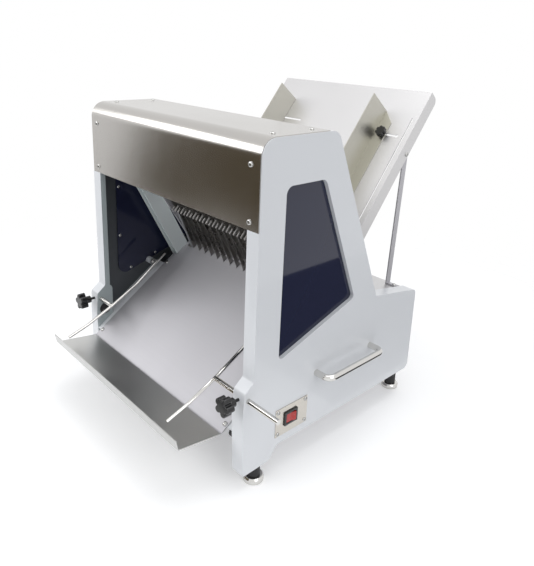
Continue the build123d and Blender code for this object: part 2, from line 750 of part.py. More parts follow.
# ---------------------------------------------------------------- discharge tray
blade_n = [CROSS_T * math.tan(lean) * (-1 if i % 2 == 0 else 1) for i in range(BLADE_COUNT)]
SLIT_END = BLADE_W / 2 + CRANK_R * math.sin(lean) + 1
BAR_SLOT_N = abs(blade_n[0]) + SIDE_BAR_W / 2 + CRANK_R * math.sin(lean) + 1
slot_d = (SLOT_Y - TRAY_FOLD[0]) / math.cos(math.radians(TRAY_ANGLE))
with BuildPart() as tray:
    with BuildSketch(side()):
        sheet_profile(
            [TRAY_LIP_TOP, TRAY_LIP_FOLD, TRAY_FOLD, (RIDGE_Y - 1, tray_z(RIDGE_Y - 1))],
            [3, 6],
            TRAY_T,
            Side.RIGHT,
        )
    extrude(amount=TRAY_HALF_W, both=True)
    with BuildSketch(tray_face(5)):
        for x, n in zip(BLADE_X, blade_n):
            with Locations((x, slot_d + n)):
                Rectangle(SLIT_W, 2 * SLIT_END)
        for sign in (-1, 1):
            with Locations((sign * (INNER_BAR_X + OUTER_BAR_X + SIDE_BAR_T) / 2, slot_d)):
                Rectangle(OUTER_BAR_X + SIDE_BAR_T - INNER_BAR_X + 2 * BAR_SLOT_X, 2 * BAR_SLOT_N)
            with Locations((sign * (RAIL_FACE_X + 20 - SIDE_GAP), slot_d + RAIL_N[0] - 3 + 50)):
                Rectangle(40, 100)
    extrude(amount=-15, mode=Mode.SUBTRACT)
    drill(tray_seats, depth=TRAY_T + 1)
finish(tray.part, "discharge_tray")

# ---------------------------------------------------------------- infeed tray
FLANGE_S = -62.0
with BuildPart() as infeed_tray:
    with BuildSketch(infeed()):
        with BuildLine():
            Polyline((RIDGE_S + 1, 0), (INFEED_TOP_S, 0), (INFEED_TOP_S, -TRAY_T), (RIDGE_S + 1, -TRAY_T),
                     close=True)
        make_face()
    extrude(amount=INFEED_HALF_W, both=True)
    for x in (-INFEED_HALF_W, INFEED_HALF_W - TRAY_T):
        with BuildSketch(infeed(x)):
            polygon(
                [(FLANGE_S, 0), (INFEED_TOP_S, 0), (INFEED_TOP_S, -INFEED_SIDE), (FLANGE_S, -INFEED_SIDE)],
                [0, 0, 14, 8],
            )
        extrude(amount=TRAY_T)
    with BuildSketch(infeed()):
        with Locations((INFEED_TOP_S - TRAY_T / 2, -INFEED_LIP / 2)):
            Rectangle(TRAY_T, INFEED_LIP)
    extrude(amount=INFEED_HALF_W, both=True)
    with BuildSketch(infeed_face(1)):
        for sign, out, inward, plate_x in ((1, GUIDE_OUT, GUIDE_IN, GUIDE_RIGHT_X),
                                           (-1, LEFT_OUT, LEFT_IN, GUIDE_LEFT_X)):
            with Locations((sign * EDGE_SLOT_X, sum(EDGE_SLOT_S) / 2)):
                Rectangle(EDGE_SLOT_W, EDGE_SLOT_S[1] - EDGE_SLOT_S[0])
            knob_x = plate_x + GUIDE_KNOB_X
            slot_end = EDGE_SLOT_X - 15
            slot_start = knob_x - inward - CROSS_SLOT_W / 2 - 1
            with Locations((sign * (slot_end + slot_start) / 2, GUIDE_KNOB_S)):
                Rectangle(slot_end - slot_start, CROSS_SLOT_W)
            with Locations((sign * (slot_end - 1), GUIDE_KNOB_S)):
                Circle(CROSS_SLOT_END_R)
    extrude(amount=-10, mode=Mode.SUBTRACT)
    for sign in (-1, 1):
        with BuildSketch(side(sign * INFEED_HALF_W)):
            with Locations(STRUT_TOP):
                Circle(SCREW_D / 2)
        extrude(amount=-sign * TRAY_T, mode=Mode.SUBTRACT)
finish(infeed_tray.part, "infeed_tray")


def guide_plate(sign, plate_x):
    """L-shaped guide plate with a foot on the tray and a bore for the knob's stud."""
    with BuildPart() as guide:
        with BuildSketch(infeed(sign * plate_x)):
            with BuildLine():
                Polyline(
                    (GUIDE_S[0], REST_GAP),
                    (GUIDE_S[1], REST_GAP),
                    (GUIDE_S[1], GUIDE_H),
                    (GUIDE_S[0], GUIDE_H),
                    close=True,
                )
            make_face()
        extrude(amount=sign * TRAY_T)
        with BuildSketch(infeed_face(REST_GAP)):
            with BuildLine():
                Polyline(
                    (sign * plate_x, GUIDE_S[0]),
                    (sign * plate_x, GUIDE_S[1]),
                    (sign * (plate_x + GUIDE_FOOT - GUIDE_CORNER), GUIDE_S[1]),
                    (sign * (plate_x + GUIDE_FOOT), GUIDE_S[1] - GUIDE_CORNER),
                    (sign * (plate_x + GUIDE_FOOT), GUIDE_S[0]),
                    close=True,
                )
            make_face()
        extrude(amount=TRAY_T)
        with BuildSketch(infeed_face()):
            with Locations((sign * (plate_x + GUIDE_KNOB_X), GUIDE_KNOB_S)):
                Circle(GUIDE_STUD_D / 2 + RUN_CLEARANCE)
        extrude(amount=TRAY_T * 2, mode=Mode.SUBTRACT)
    return guide.part


def guide_nut(sign, plate_x):
    """Square nut under the tray on the knob's stud."""
    with BuildPart() as nut:
        with BuildSketch(infeed_face(-TRAY_T - REST_GAP)):
            with Locations((sign * (plate_x + GUIDE_KNOB_X), GUIDE_KNOB_S)):
                Rectangle(NUT_W, NUT_W)
                Circle(GUIDE_STUD_D / 2 + RUN_CLEARANCE, mode=Mode.SUBTRACT)
        extrude(amount=-NUT_T)
    return nut.part


def guide_knob(sign, plate_x):
    """Star knob on the guide's foot with a stud through the tray's cross slot."""
    seat = on(infeed_face(2 * REST_GAP + TRAY_T), [(sign * (plate_x + GUIDE_KNOB_X), GUIDE_KNOB_S)])[0]
    knob = star_knob(seat, GUIDE_KNOB)
    with BuildPart() as whole:
        add(knob.part)
        with BuildSketch(seat):
            Circle(GUIDE_STUD_D / 2)
        extrude(amount=-(2 * TRAY_T + 3 * REST_GAP + NUT_T + 2))
    return whole.part


for sign, plate_x, name in ((1, GUIDE_RIGHT_X, "right"), (-1, GUIDE_LEFT_X, "left")):
    finish(guide_plate(sign, plate_x), f"infeed_guide_{name}")
    finish(guide_nut(sign, plate_x), f"guide_nut_{name}")
    finish(guide_knob(sign, plate_x), f"guide_knob_{name}")

# ---------------------------------------------------------------- struts
foot_z = cover_z(STRUT_FOOT_Y)
with BuildPart() as strut:
    with BuildSketch(side(STRUT_X)):
        with BuildLine():
            lean_y = (STRUT_TOP[0] - STRUT_FOOT_Y) * STRUT_END / (STRUT_TOP[1] - foot_z)
            half = STRUT_W / 2
            Polyline(
                (STRUT_FOOT_Y - half, cover_z(STRUT_FOOT_Y - half)),
                (STRUT_FOOT_Y + half, cover_z(STRUT_FOOT_Y + half)),
                (STRUT_TOP[0] + lean_y + half, STRUT_TOP[1] + STRUT_END),
                (STRUT_TOP[0] + lean_y - half, STRUT_TOP[1] + STRUT_END),
                close=True,
            )
        make_face()
    extrude(amount=STRUT_T)
    with BuildSketch(cover_face()):
        with Locations((STRUT_X + STRUT_FOOT / 2, strut_foot_d)):
            Rectangle(STRUT_FOOT, STRUT_W)
            with Locations((STRUT_FOOT / 2 - STRUT_SCREW_IN, 0)):
                Circle(SCREW_D / 2, mode=Mode.SUBTRACT)
    extrude(amount=STRUT_T)
    with BuildSketch(side(STRUT_X)):
        with Locations(STRUT_TOP):
            Circle(SCREW_D / 2)
    extrude(amount=STRUT_T, mode=Mode.SUBTRACT)
finish_both(strut.part, "struts")

# ---------------------------------------------------------------- base and rear cover
with BuildPart() as base_pan:
    with BuildSketch(level(BASE_Z)):
        with BuildLine():
            Polyline(
                (-COVER_HALF_W, PAN_FRONT_Y),
                (COVER_HALF_W, PAN_FRONT_Y),
                (COVER_HALF_W, BACK_Y - 4),
                (-COVER_HALF_W, BACK_Y - 4),
                close=True,
            )
        make_face()
    extrude(amount=SHEET_T)
    with BuildSketch(level(BASE_Z)):
        for sign in (-1, 1):
            with Locations((sign * FOOT_BLOCK_AT[0], FOOT_BLOCK_AT[1] + 1)):
                Rectangle(*PAN_NOTCH)
            with Locations((sign * (COVER_HALF_W - SHEET_T / 2), PAN_SIDE[0])):
                Rectangle(SHEET_T, PAN_SIDE[1])
    extrude(amount=SHEET_T, mode=Mode.SUBTRACT)
    with BuildSketch(level(BASE_Z)):
        for sign in (-1, 1):
            with Locations((sign * (COVER_HALF_W - SHEET_T / 2), PAN_SIDE[0])):
                Rectangle(SHEET_T, PAN_SIDE[1])
    extrude(amount=PAN_FLANGE)
    with BuildSketch(level(BASE_Z)):
        with Locations((0, PAN_FRONT_Y + SHEET_T / 2)):
            Rectangle(2 * (LEDGE_X - 1), SHEET_T)
    extrude(amount=tray_z(PAN_FRONT_Y) - (TRAY_T + 1) / math.cos(math.radians(TRAY_ANGLE)) - BASE_Z)
finish(base_pan.part, "base_pan")

with BuildPart() as cover:
    with BuildSketch(side()):
        sheet_profile(
            [
                (COVER_TOP_Y, cover_z(COVER_TOP_Y)),
                (COVER_BACK_Y, cover_z(COVER_BACK_Y)),
                (COVER_BACK_Y, BASE_Z + SHEET_T + 0.5),
            ],
            [COVER_BEND_R],
            SHEET_T,
            Side.RIGHT,
        )
    extrude(amount=COVER_HALF_W, both=True)
    with BuildSketch(front(BACK_Y)):
        with Locations(GLAND):
            Circle(GLAND_D / 2)
        for row in range(VENT_ROWS):
            with Locations((VENT_X, VENT_Z + row * VENT_PITCH)):
                SlotOverall(VENT_L, VENT_H)
    extrude(amount=10, mode=Mode.SUBTRACT)
    drill(cover_seats + strut_foot_seats, depth=SHEET_T + STRUT_T + 1)
finish(cover.part, "rear_cover")

with BuildPart() as gland:
    with BuildSketch(side(GLAND[0])):
        with BuildLine():
            Polyline(
                (BACK_Y - 14, GLAND[1] + 4),
                (BACK_Y - 14, GLAND[1] + GLAND_D / 2),
                (BACK_Y - 1, GLAND[1] + GLAND_D / 2),
                (BACK_Y - 1, GLAND[1] + GLAND_D / 2 + 4),
                (BACK_Y + 6, GLAND[1] + GLAND_D / 2 + 4),
                (BACK_Y + 16, GLAND[1] + 7),
                (BACK_Y + 16, GLAND[1] + 4),
                close=True,
            )
        make_face()
    revolve(axis=Axis((GLAND[0], 0, GLAND[1]), (0, 1, 0)))
finish(gland.part, "cable_gland")

# ---------------------------------------------------------------- rails and guides
with BuildPart() as rail:
    with BuildSketch(Plane(slide().origin, x_dir=(1, 0, 0), z_dir=slide().y_dir).offset(RAIL_T[0])):
        inner, outer = RAIL_FACE_X, RIM_X
        with BuildLine():
            Polyline(
                (inner, RAIL_N[0]),
                (inner, RAIL_N[1]),
                (outer, RAIL_N[1]),
                (outer, RAIL_N[0]),
                (outer - RAIL_WALL, RAIL_N[0]),
                (outer - RAIL_WALL, RAIL_N[1] - RAIL_WALL),
                (inner + RAIL_WALL, RAIL_N[1] - RAIL_WALL),
                (inner + RAIL_WALL, RAIL_N[0]),
                close=True,
            )
        make_face()
    extrude(amount=RAIL_T[1] - RAIL_T[0])
    drill(rail_bolt_seats, diameter=RAIL_BOLT_D, depth=RAIL_WALL + 1)
    drill(rail_screw_seats, depth=RAIL_SCREW_L)
finish_both(rail.part, "blade_rails")


def groove_n(t):
    """How far a frame's centre line lies from the slide line at t."""
    return (t - CROSS_T) * math.tan(lean)


def guide_block(t):
    """Nylon block with one groove for each frame's shoe, on the rail's inner face."""
    n = abs(groove_n(t))
    half = SHOE_W / 2 + SLIDE_CLEARANCE
    with BuildPart() as block:
        with BuildSketch(slide(RAIL_FACE_X - GUIDE_W)):
            with Locations((0, t)):
                Rectangle(2 * (n + half + GUIDE_LIP), SHOE_L + 2 * CRANK_R + 4)
        extrude(amount=GUIDE_W)
        with BuildSketch(slide(RAIL_FACE_X - GUIDE_W)):
            for sign in (-1, 1):
                with Locations((sign * n, t)):
                    Rectangle(2 * half, SHOE_L + 2 * CRANK_R + 6)
        extrude(amount=GROOVE_DEPTH, mode=Mode.SUBTRACT)
    return block.part


with BuildPart() as blocks:
    for t in (SHOE_TOP_T, SHOE_LOW_T):
        add(guide_block(t))
finish_both(blocks.part, "guide_blocks")

# ---------------------------------------------------------------- blade frames
top_b = (TOP_BAR_T - CROSS_T) / math.cos(lean)
low_b = (LOW_BAR_T - CROSS_T) / math.cos(lean)
LUG_GAP_X = ROD_T / 2 + PIVOT_GAP


def blade_frame(sign, bar_x, blade_x, lug_x):
    """Welded frame: two side bars, a slotted bar at each end and two lugs for its rods."""
    wrist = (sign * LOW_WRIST_N, SMALL_T)
    with BuildPart() as frame:
        for side_sign in (-1, 1):
            with BuildSketch(leaning(sign, side_sign * bar_x)):
                with Locations((0, (top_b + low_b) / 2)):
                    Rectangle(SIDE_BAR_W, top_b - low_b + BAR)
            extrude(amount=side_sign * SIDE_BAR_T)
        with BuildSketch(leaning(sign)):
            with Locations((0, top_b), (0, low_b)):
                Rectangle(BAR, BAR)
        extrude(amount=bar_x + 1, both=True)
        for side_sign in (-1, 1):
            with BuildSketch(slide(side_sign * (lug_x + LUG_GAP_X))):
                with BuildLine():
                    Polyline(
                        (sign * LOW_WRIST_N - SMALL_END_R, SMALL_T),
                        (sign * LOW_WRIST_N - BAR / 2, LOW_BAR_T),
                        (sign * LOW_WRIST_N + BAR / 2, LOW_BAR_T),
                        (sign * LOW_WRIST_N + SMALL_END_R, SMALL_T),
                        close=True,
                    )
                make_face()
                with Locations(wrist):
                    Circle(SMALL_END_R)
                    Circle(WRIST_D / 2, mode=Mode.SUBTRACT)
            extrude(amount=side_sign * LUG_T)
        for x in blade_x:
            with BuildSketch(leaning(sign, x)) as slot:
                with Locations((0, top_b), (0, low_b)):
                    Rectangle(BLADE_W, BAR + 1)
            extrude(slot.sketch, amount=BLADE_T / 2, both=True, mode=Mode.SUBTRACT)
    return frame.part


def blades(sign, blade_x):
    """Blade strips with a crossbar at each end that bears on the frame's bars."""
    with BuildPart() as group:
        for x in blade_x:
            with BuildSketch(leaning(sign, x)):
                with Locations((0, (top_b + low_b) / 2)):
                    Rectangle(BLADE_W, top_b - low_b + BAR + BLADE_END)
            extrude(amount=BLADE_T / 2, both=True)
            with BuildSketch(leaning(sign, x)):
                for b in (top_b + BAR / 2 + BLADE_END / 4, low_b - BAR / 2 - BLADE_END / 4):
                    with Locations((0, b)):
                        Circle(BLADE_END / 4)
            extrude(amount=BLADE_CROSSBAR / 2, both=True)
    return group.part


def shoes(sign, bar_x):
    """Four nylon shoes on the frame's side bars, in the guide blocks' grooves."""
    reach = RAIL_FACE_X - GUIDE_W + GROOVE_DEPTH - SLIDE_CLEARANCE - bar_x - SIDE_BAR_T
    with BuildPart() as group:
        for t in (SHOE_TOP_T, SHOE_LOW_T):
            for side_sign in (-1, 1):
                with BuildSketch(slide(side_sign * (bar_x + SIDE_BAR_T))):
                    with Locations((sign * groove_n(t), t)):
                        Rectangle(SHOE_W, SHOE_L)
                extrude(amount=side_sign * reach)
    return group.part


for sign, bar_x, blade_x, lug_x, name in (
    (1, INNER_BAR_X, BLADE_X[0::2], ROD_A_X, "a"),
    (-1, OUTER_BAR_X, BLADE_X[1::2], ROD_B_X, "b"),
):
    finish(blade_frame(sign, bar_x, blade_x, lug_x), f"blade_frame_{name}")
    finish(blades(sign, blade_x), f"blades_{name}")
    finish(shoes(sign, bar_x), f"slide_shoes_{name}")

# ---------------------------------------------------------------- crankshaft and rods
with BuildPart() as crankshaft:
    with BuildSketch(side()):
        with Locations((SHAFT_Y, SHAFT_Z)):
            Circle(SHAFT_D / 2)
    extrude(amount=RIM_X + BEARING_T - SHAFT_END_IN, both=True)
    for sign, rod_x in ((1, ROD_A_X), (-1, ROD_B_X)):
        for side_sign in (-1, 1):
            with BuildSketch(slide(side_sign * rod_x - ROD_T / 2)):
                with Locations((-sign * CRANK_R, SHAFT_T)):
                    Circle(ECC_D / 2)
            extrude(amount=ROD_T)
finish(crankshaft.part, "crankshaft")


def connecting_rods(sign, rod_x):
    """Ring round each eccentric, a waisted shank and a small end beside the frame's lug."""
    ring_r = ECC_D / 2 + RUN_CLEARANCE + RING_W
    ring_at = (-sign * CRANK_R, SHAFT_T)
    wrist = (sign * LOW_WRIST_N, SMALL_T)
    with BuildPart() as rods:
        for side_sign in (-1, 1):
            with BuildSketch(slide(side_sign * rod_x - ROD_T / 2)):
                with Locations(ring_at):
                    Circle(ring_r)
                with Locations(wrist):
                    Circle(SMALL_END_R)
                with BuildLine():
                    Polyline(
                        (ring_at[0] - ROD_FOOT, SHAFT_T + ring_r - 6),
                        (wrist[0] - SMALL_END_R + 2, SMALL_T - 4),
                        (wrist[0] + SMALL_END_R - 2, SMALL_T - 4),
                        (ring_at[0] + ROD_FOOT, SHAFT_T + ring_r - 6),
                        close=True,
                    )
                make_face()
                with Locations(ring_at):
                    Circle(ECC_D / 2 + RUN_CLEARANCE, mode=Mode.SUBTRACT)
                with Locations(wrist):
                    Circle(WRIST_D / 2, mode=Mode.SUBTRACT)
            extrude(amount=ROD_T)
    return rods.part


def wrist_bolts(sign, rod_x):
    """Bolt in each small end, with its head on the side away from the lug."""
    with BuildPart() as bolts:
        for side_sign in (-1, 1):
            with BuildSketch(slide(side_sign * (rod_x - ROD_T / 2))):
                with Locations((sign * LOW_WRIST_N, SMALL_T)):
                    Circle(WRIST_D / 2)
            extrude(amount=side_sign * ROD_T)
            with BuildSketch(slide(side_sign * (rod_x - ROD_T / 2))):
                with Locations((sign * LOW_WRIST_N, SMALL_T)):
                    RegularPolygon(WRIST_HEAD_R, 6)
            extrude(amount=-side_sign * WRIST_HEAD_H)
    return bolts.part


for sign, rod_x, name in ((1, ROD_A_X, "a"), (-1, ROD_B_X, "b")):
    finish(connecting_rods(sign, rod_x), f"connecting_rods_{name}")
    finish(wrist_bolts(sign, rod_x), f"wrist_bolts_{name}")

with BuildPart() as bearings:
    for side_sign in (-1, 1):
        with BuildSketch(side(side_sign * RIM_X)):
            with Locations((SHAFT_Y, SHAFT_Z)):
                Circle(BEARING_D / 2)
                Circle(SHAFT_D / 2 + RUN_CLEARANCE, mode=Mode.SUBTRACT)
        extrude(amount=side_sign * BEARING_T)
finish(bearings.part, "shaft_bearings")


def pulley(y, z, pitch_r, bore_d, hub_d, hub_l):
    """Grooved pulley on a shaft along X."""
    outer = pitch_r + BELT_OUT
    groove = pitch_r - BELT_IN - BELT_CLEARANCE
    with BuildPart() as wheel:
        with BuildSketch(side(PULLEY_X - PULLEY_W / 2)):
            with Locations((y, z)):
                Circle(outer)
        extrude(amount=PULLEY_W)
        with BuildSketch(side(PULLEY_X)):
            with Locations((y, z)):
                Circle(outer + 1)
                Circle(groove, mode=Mode.SUBTRACT)
        extrude(amount=BELT_W / 2 + BELT_CLEARANCE, both=True, mode=Mode.SUBTRACT)
        with BuildSketch(side(PULLEY_X)):
            with Locations((y, z)):
                Circle(hub_d / 2)
        extrude(amount=PULLEY_W / 2 + hub_l)
        with BuildSketch(side(PULLEY_X)):
            with Locations((y, z)):
                Circle(bore_d / 2)
        extrude(amount=PULLEY_W / 2 + hub_l + 1, both=True, mode=Mode.SUBTRACT)
        if groove - hub_d / 2 > PULLEY_WEB:
            with BuildSketch(side(PULLEY_X - PULLEY_W / 2)):
                with Locations((y, z)):
                    with PolarLocations((groove + hub_d / 2) / 2 - 1, PULLEY_HOLES):
                        Circle((groove - hub_d / 2) / 2 - 5)
            extrude(amount=PULLEY_W, mode=Mode.SUBTRACT)
    return wheel.part


finish(pulley(SHAFT_Y, SHAFT_Z, MAIN_PITCH_R, SHAFT_D, *MAIN_HUB), "main_pulley")
finish(pulley(MOTOR_Y, MOTOR_Z, MOTOR_PITCH_R, MOTOR_SHAFT_D, *MOTOR_HUB), "motor_pulley")

with BuildPart() as belt:
    for extra, mode in ((BELT_OUT, Mode.ADD), (-BELT_IN, Mode.SUBTRACT)):
        with BuildSketch(side(PULLEY_X)):
            with BuildLine():
                CenterArc((SHAFT_Y, SHAFT_Z), MAIN_PITCH_R + extra, 0, 360)
                CenterArc((MOTOR_Y, MOTOR_Z), MOTOR_PITCH_R + extra, 0, 360)
            make_hull()
        extrude(amount=BELT_W / 2, both=True, mode=mode)
finish(belt.part, "drive_belt")

# ---------------------------------------------------------------- motor
with BuildPart() as motor:
    with BuildSketch(side(MOTOR_FACE_X)):
        with Locations((MOTOR_Y, MOTOR_Z)):
            Circle(MOTOR_D / 2)
    extrude(amount=MOTOR_L)
    fillet(motor.edges().filter_by(GeomType.CIRCLE), radius=MOTOR_EDGE_R)
    with BuildSketch(level(BASE_Z + SHEET_T)):
        for x in (MOTOR_FACE_X + MOTOR_STRIP[0], MOTOR_FACE_X + MOTOR_L - MOTOR_STRIP[0]):
            with Locations((x, MOTOR_Y)):
                Rectangle(MOTOR_STRIP[0], MOTOR_STRIP[1])
    extrude(amount=MOTOR_FOOT_T)
    with BuildSketch(level(BASE_Z + SHEET_T)):
        for x in (MOTOR_FACE_X + MOTOR_STRIP[0], MOTOR_FACE_X + MOTOR_L - MOTOR_STRIP[0]):
            with Locations((x, MOTOR_Y)):
                Rectangle(MOTOR_STRIP[0], MOTOR_D * MOTOR_SADDLE)
    extrude(amount=MOTOR_Z - BASE_Z - MOTOR_D / 4)
    with BuildSketch(level(MOTOR_Z)):
        with Locations((MOTOR_FACE_X + MOTOR_L / 2, MOTOR_Y)):
            Rectangle(MOTOR_BOX[0], MOTOR_BOX[1])
    extrude(amount=MOTOR_D / 2 + MOTOR_BOX[2])
    with BuildSketch(side(MOTOR_FACE_X - 1)):
        with Locations((MOTOR_Y, MOTOR_Z)):
            Circle(MOTOR_SHAFT_D / 2 + RUN_CLEARANCE)
    extrude(amount=MOTOR_BORE, mode=Mode.SUBTRACT)
finish(motor.part, "motor")

with BuildPart() as motor_shaft:
    with BuildSketch(side(PULLEY_X - PULLEY_W / 2)):
        with Locations((MOTOR_Y, MOTOR_Z)):
            Circle(MOTOR_SHAFT_D / 2)
    extrude(amount=MOTOR_FACE_X + MOTOR_BORE - PULLEY_X + PULLEY_W / 2 - 3)
finish(motor_shaft.part, "motor_shaft")

# ---------------------------------------------------------------- feet
for side_sign, side_name in ((-1, "left"), (1, "right")):
    for (foot_x, foot_y), under, end_name in ((FOOT_FRONT, LEG_Z, "front"), (FOOT_REAR, BASE_Z, "rear")):
        with BuildPart() as foot:
            ground = level().from_local_coords(Vector(side_sign * foot_x, foot_y, 0))
            with BuildSketch(Plane(ground, x_dir=(1, 0, 0), z_dir=(0, -1, 0))):
                with BuildLine():
                    Polyline(
                        (0, 0),
                        (FOOT_D / 2 - 1, 0),
                        (FOOT_D / 2, 1),
                        (FOOT_D / 2, FOOT_H - 4),
                        (FOOT_D / 2 - 3, FOOT_H),
                        (FOOT_STUD_D / 2, FOOT_H),
                        (FOOT_STUD_D / 2, under + FOOT_STUD_IN),
                        (0, under + FOOT_STUD_IN),
                        close=True,
                    )
                make_face()
            revolve(axis=Axis(ground, (0, 0, 1)))
        finish(foot.part, f"foot_{end_name}_{side_name}")

with BuildPart() as collars:
    for (foot_x, foot_y), under in ((FOOT_FRONT, LEG_Z), (FOOT_REAR, BASE_Z)):
        with BuildSketch(level(FOOT_H + REST_GAP)):
            with Locations((foot_x, foot_y)):
                Circle(FOOT_SLEEVE_D / 2)
                Circle(FOOT_STUD_D / 2 + RUN_CLEARANCE, mode=Mode.SUBTRACT)
        extrude(amount=under - FOOT_H - REST_GAP)
finish_both(collars.part, "foot_collars")

# ---------------------------------------------------------------- guide rods and clamp knobs
for rod_x, pin_end, name in ((ROD_RIGHT_X, PIN_OUT_RIGHT, "right"), (ROD_LEFT_X, PIN_OUT_LEFT, "left")):
    with BuildPart() as rod:
        with BuildLine(side(rod_x)) as path:
            FilletPolyline(*ROD_POINTS, radius=ROD_BEND_R)
        with BuildSketch(Plane(path.line @ 0, x_dir=(1, 0, 0), z_dir=path.line % 0)):
            Circle(ROD_D / 2)
        sweep(path=path.line)
        with BuildSketch(side(rod_x)):
            with Locations((PIN_Y, PIN_Z)):
                Circle(PIN_D / 2)
        extrude(amount=pin_end - rod_x)
    finish(rod.part, f"guide_rod_{name}")

clamp_seat = Plane(front(KNOB_SEAT_Y).from_local_coords(Vector(KNOB_X, PIN_Z, 0)),
                   x_dir=(1, 0, 0), z_dir=(0, -1, 0))
knob = star_knob(clamp_seat, CLAMP_KNOB)
with BuildPart() as clamp:
    add(knob.part)
    with BuildSketch(clamp_seat):
        Circle(STUD_D / 2)
    extrude(amount=-(PIN_Y - PIN_D / 2 - REST_GAP - KNOB_SEAT_Y))
finish_pair(clamp.part, "clamp_knob")

with BuildPart() as plugs:
    for side_sign in (-1, 1):
        for centre, diameter, length in LUG_RUBBERS:
            with BuildSketch(side(side_sign * RIM_X)):
                with Locations(centre):
                    Circle(diameter / 2)
            extrude(amount=-side_sign * length)
finish(plugs.part, "lug_buffers")

# ---------------------------------------------------------------- switch
with BuildPart() as plate:
    with BuildSketch(side(OUT_X)):
        with Locations(((PLATE[0] + PLATE[1]) / 2, (PLATE[2] + PLATE[3]) / 2)):
            Rectangle(PLATE[1] - PLATE[0], PLATE[3] - PLATE[2])
        with Locations(BEZEL_CENTRE):
            Rectangle(BEZEL[0] - 2 * BEZEL_LIP, BEZEL[1] - 2 * BEZEL_LIP, mode=Mode.SUBTRACT)
    extrude(amount=PLATE_T)
    drill(plate_seats, depth=PLATE_T + 1)
finish(plate.part, "switch_plate")

cavity = (BEZEL[0] - 2 * BEZEL_LIP - 4, BEZEL[1] - 2 * BEZEL_LIP - 4)
with BuildPart() as bezel:
    with BuildSketch(side(OUT_X + PLATE_T)):
        with Locations(BEZEL_CENTRE):
            Rectangle(*BEZEL)
    extrude(amount=BEZEL_H)
    with BuildSketch(side(OUT_X + PLATE_T)):
        with Locations(BEZEL_CENTRE):
            Rectangle(BEZEL[0] - 2 * BEZEL_LIP, BEZEL[1] - 2 * BEZEL_LIP)
    extrude(amount=-(SWITCH_DEPTH + PLATE_T - 2))
    with BuildSketch(side(OUT_X + PLATE_T + BEZEL_H)):
        with Locations(BEZEL_CENTRE):
            Rectangle(*cavity)
    extrude(amount=-(BEZEL_H + ROCKER_DEPTH), mode=Mode.SUBTRACT)
finish(bezel.part, "switch_bezel")

rocker_plane = Plane(
    Plane(origin=(OUT_X + PLATE_T + BEZEL_H - ROCKER_AXIS_IN, FRONT_Y + BEZEL_CENTRE[0], BEZEL_CENTRE[1]),
          x_dir=(0, 1, 0), z_dir=(0, 0, 1)).location * Location((0, 0, 0), (0, 0, ROCKER_TILT))
)
with BuildPart() as rocker:
    with BuildSketch(rocker_plane):
        half = cavity[0] / 2 - 1.2
        with BuildLine():
            Polyline(
                (half, 0),
                (half, -ROCKER_TOP),
                (0, -ROCKER_TOP + ROCKER_DISH),
                (-half, -ROCKER_TOP),
                (-half, 0),
            )
            ThreePointArc((-half, 0), (0, half * 0.55), (half, 0))
        make_face()
    extrude(amount=(cavity[1] - 1) / 2, both=True)
    with BuildSketch(rocker_plane):
        Circle(ROCKER_PIN_D / 2)
    extrude(amount=cavity[1] / 2 - RUN_CLEARANCE, both=True)
finish(rocker.part, "switch_rocker")

# ---------------------------------------------------------------- handles
with BuildPart() as handle:
    with BuildLine(level(HANDLE_Z)) as path:
        FilletPolyline(
            (OUT_X, HANDLE_Y[0]),
            (OUT_X + HANDLE_OUT, HANDLE_Y[0]),
            (OUT_X + HANDLE_OUT, HANDLE_Y[1]),
            (OUT_X, HANDLE_Y[1]),
            radius=HANDLE_R,
        )
    with BuildSketch(Plane(path.line @ 0, x_dir=(0, 1, 0), z_dir=path.line % 0)):
        Circle(HANDLE_D / 2)
    sweep(path=path.line)
finish_both(handle.part, "handles")

# ---------------------------------------------------------------- fasteners
screws(hood_front_seats + hood_top_seats, "hood_screws")
screws(tray_seats, "tray_screws", length=LEDGE_T + TRAY_T)
screws(cover_seats + strut_foot_seats + strut_top_seats, "cover_screws", length=COVER_SCREW_L)
screws(plate_seats, "switch_screws", length=PLATE_SCREW_L, head_d=SMALL_HEAD_D, head_h=SMALL_HEAD_H)
screws(mirrored(rail_screw_seats), "rail_screws", length=RAIL_SCREW_L, head_d=SMALL_HEAD_D)
screws(
    mirrored(window_seats),
    "window_screws",
    length=PANE_T + 4,
    head_d=PANE_HEAD_D,
    head_h=SMALL_HEAD_H,
    shank_d=PANE_SCREW_D,
)

with BuildPart() as bolts:
    for side_sign in (-1, 1):
        with BuildSketch(side(side_sign * (RIM_X + BOLT_IN))):
            with Locations(BOLT_POINT):
                Circle(BOLT_D / 2)
        extrude(amount=-side_sign * (BOLT_IN + BOLT_TAIL))
        with BuildSketch(side(side_sign * RIM_X)):
            with Locations(BOLT_POINT):
                RegularPolygon(BOLT_D, 6)
        extrude(amount=-side_sign * BOLT_HEAD_H)
    for seat in rail_bolt_seats:
        for side_sign in (-1, 1):
            y, z = seat.origin.Y - FRONT_Y, seat.origin.Z
            with BuildSketch(side(side_sign * (RIM_X - RAIL_WALL))):
                with Locations((y, z)):
                    Circle(RAIL_BOLT_D / 2)
            extrude(amount=side_sign * RAIL_BOLT_L)
            with BuildSketch(side(side_sign * (RIM_X - RAIL_WALL))):
                with Locations((y, z)):
                    RegularPolygon(RAIL_BOLT_D, 6)
            extrude(amount=-side_sign * RAIL_HEAD_H)
finish(bolts.part, "panel_bolts")
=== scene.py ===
"""Looks of a countertop bread slicer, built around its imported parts."""

import math

import bmesh
import bpy
from mathutils import Matrix, Vector


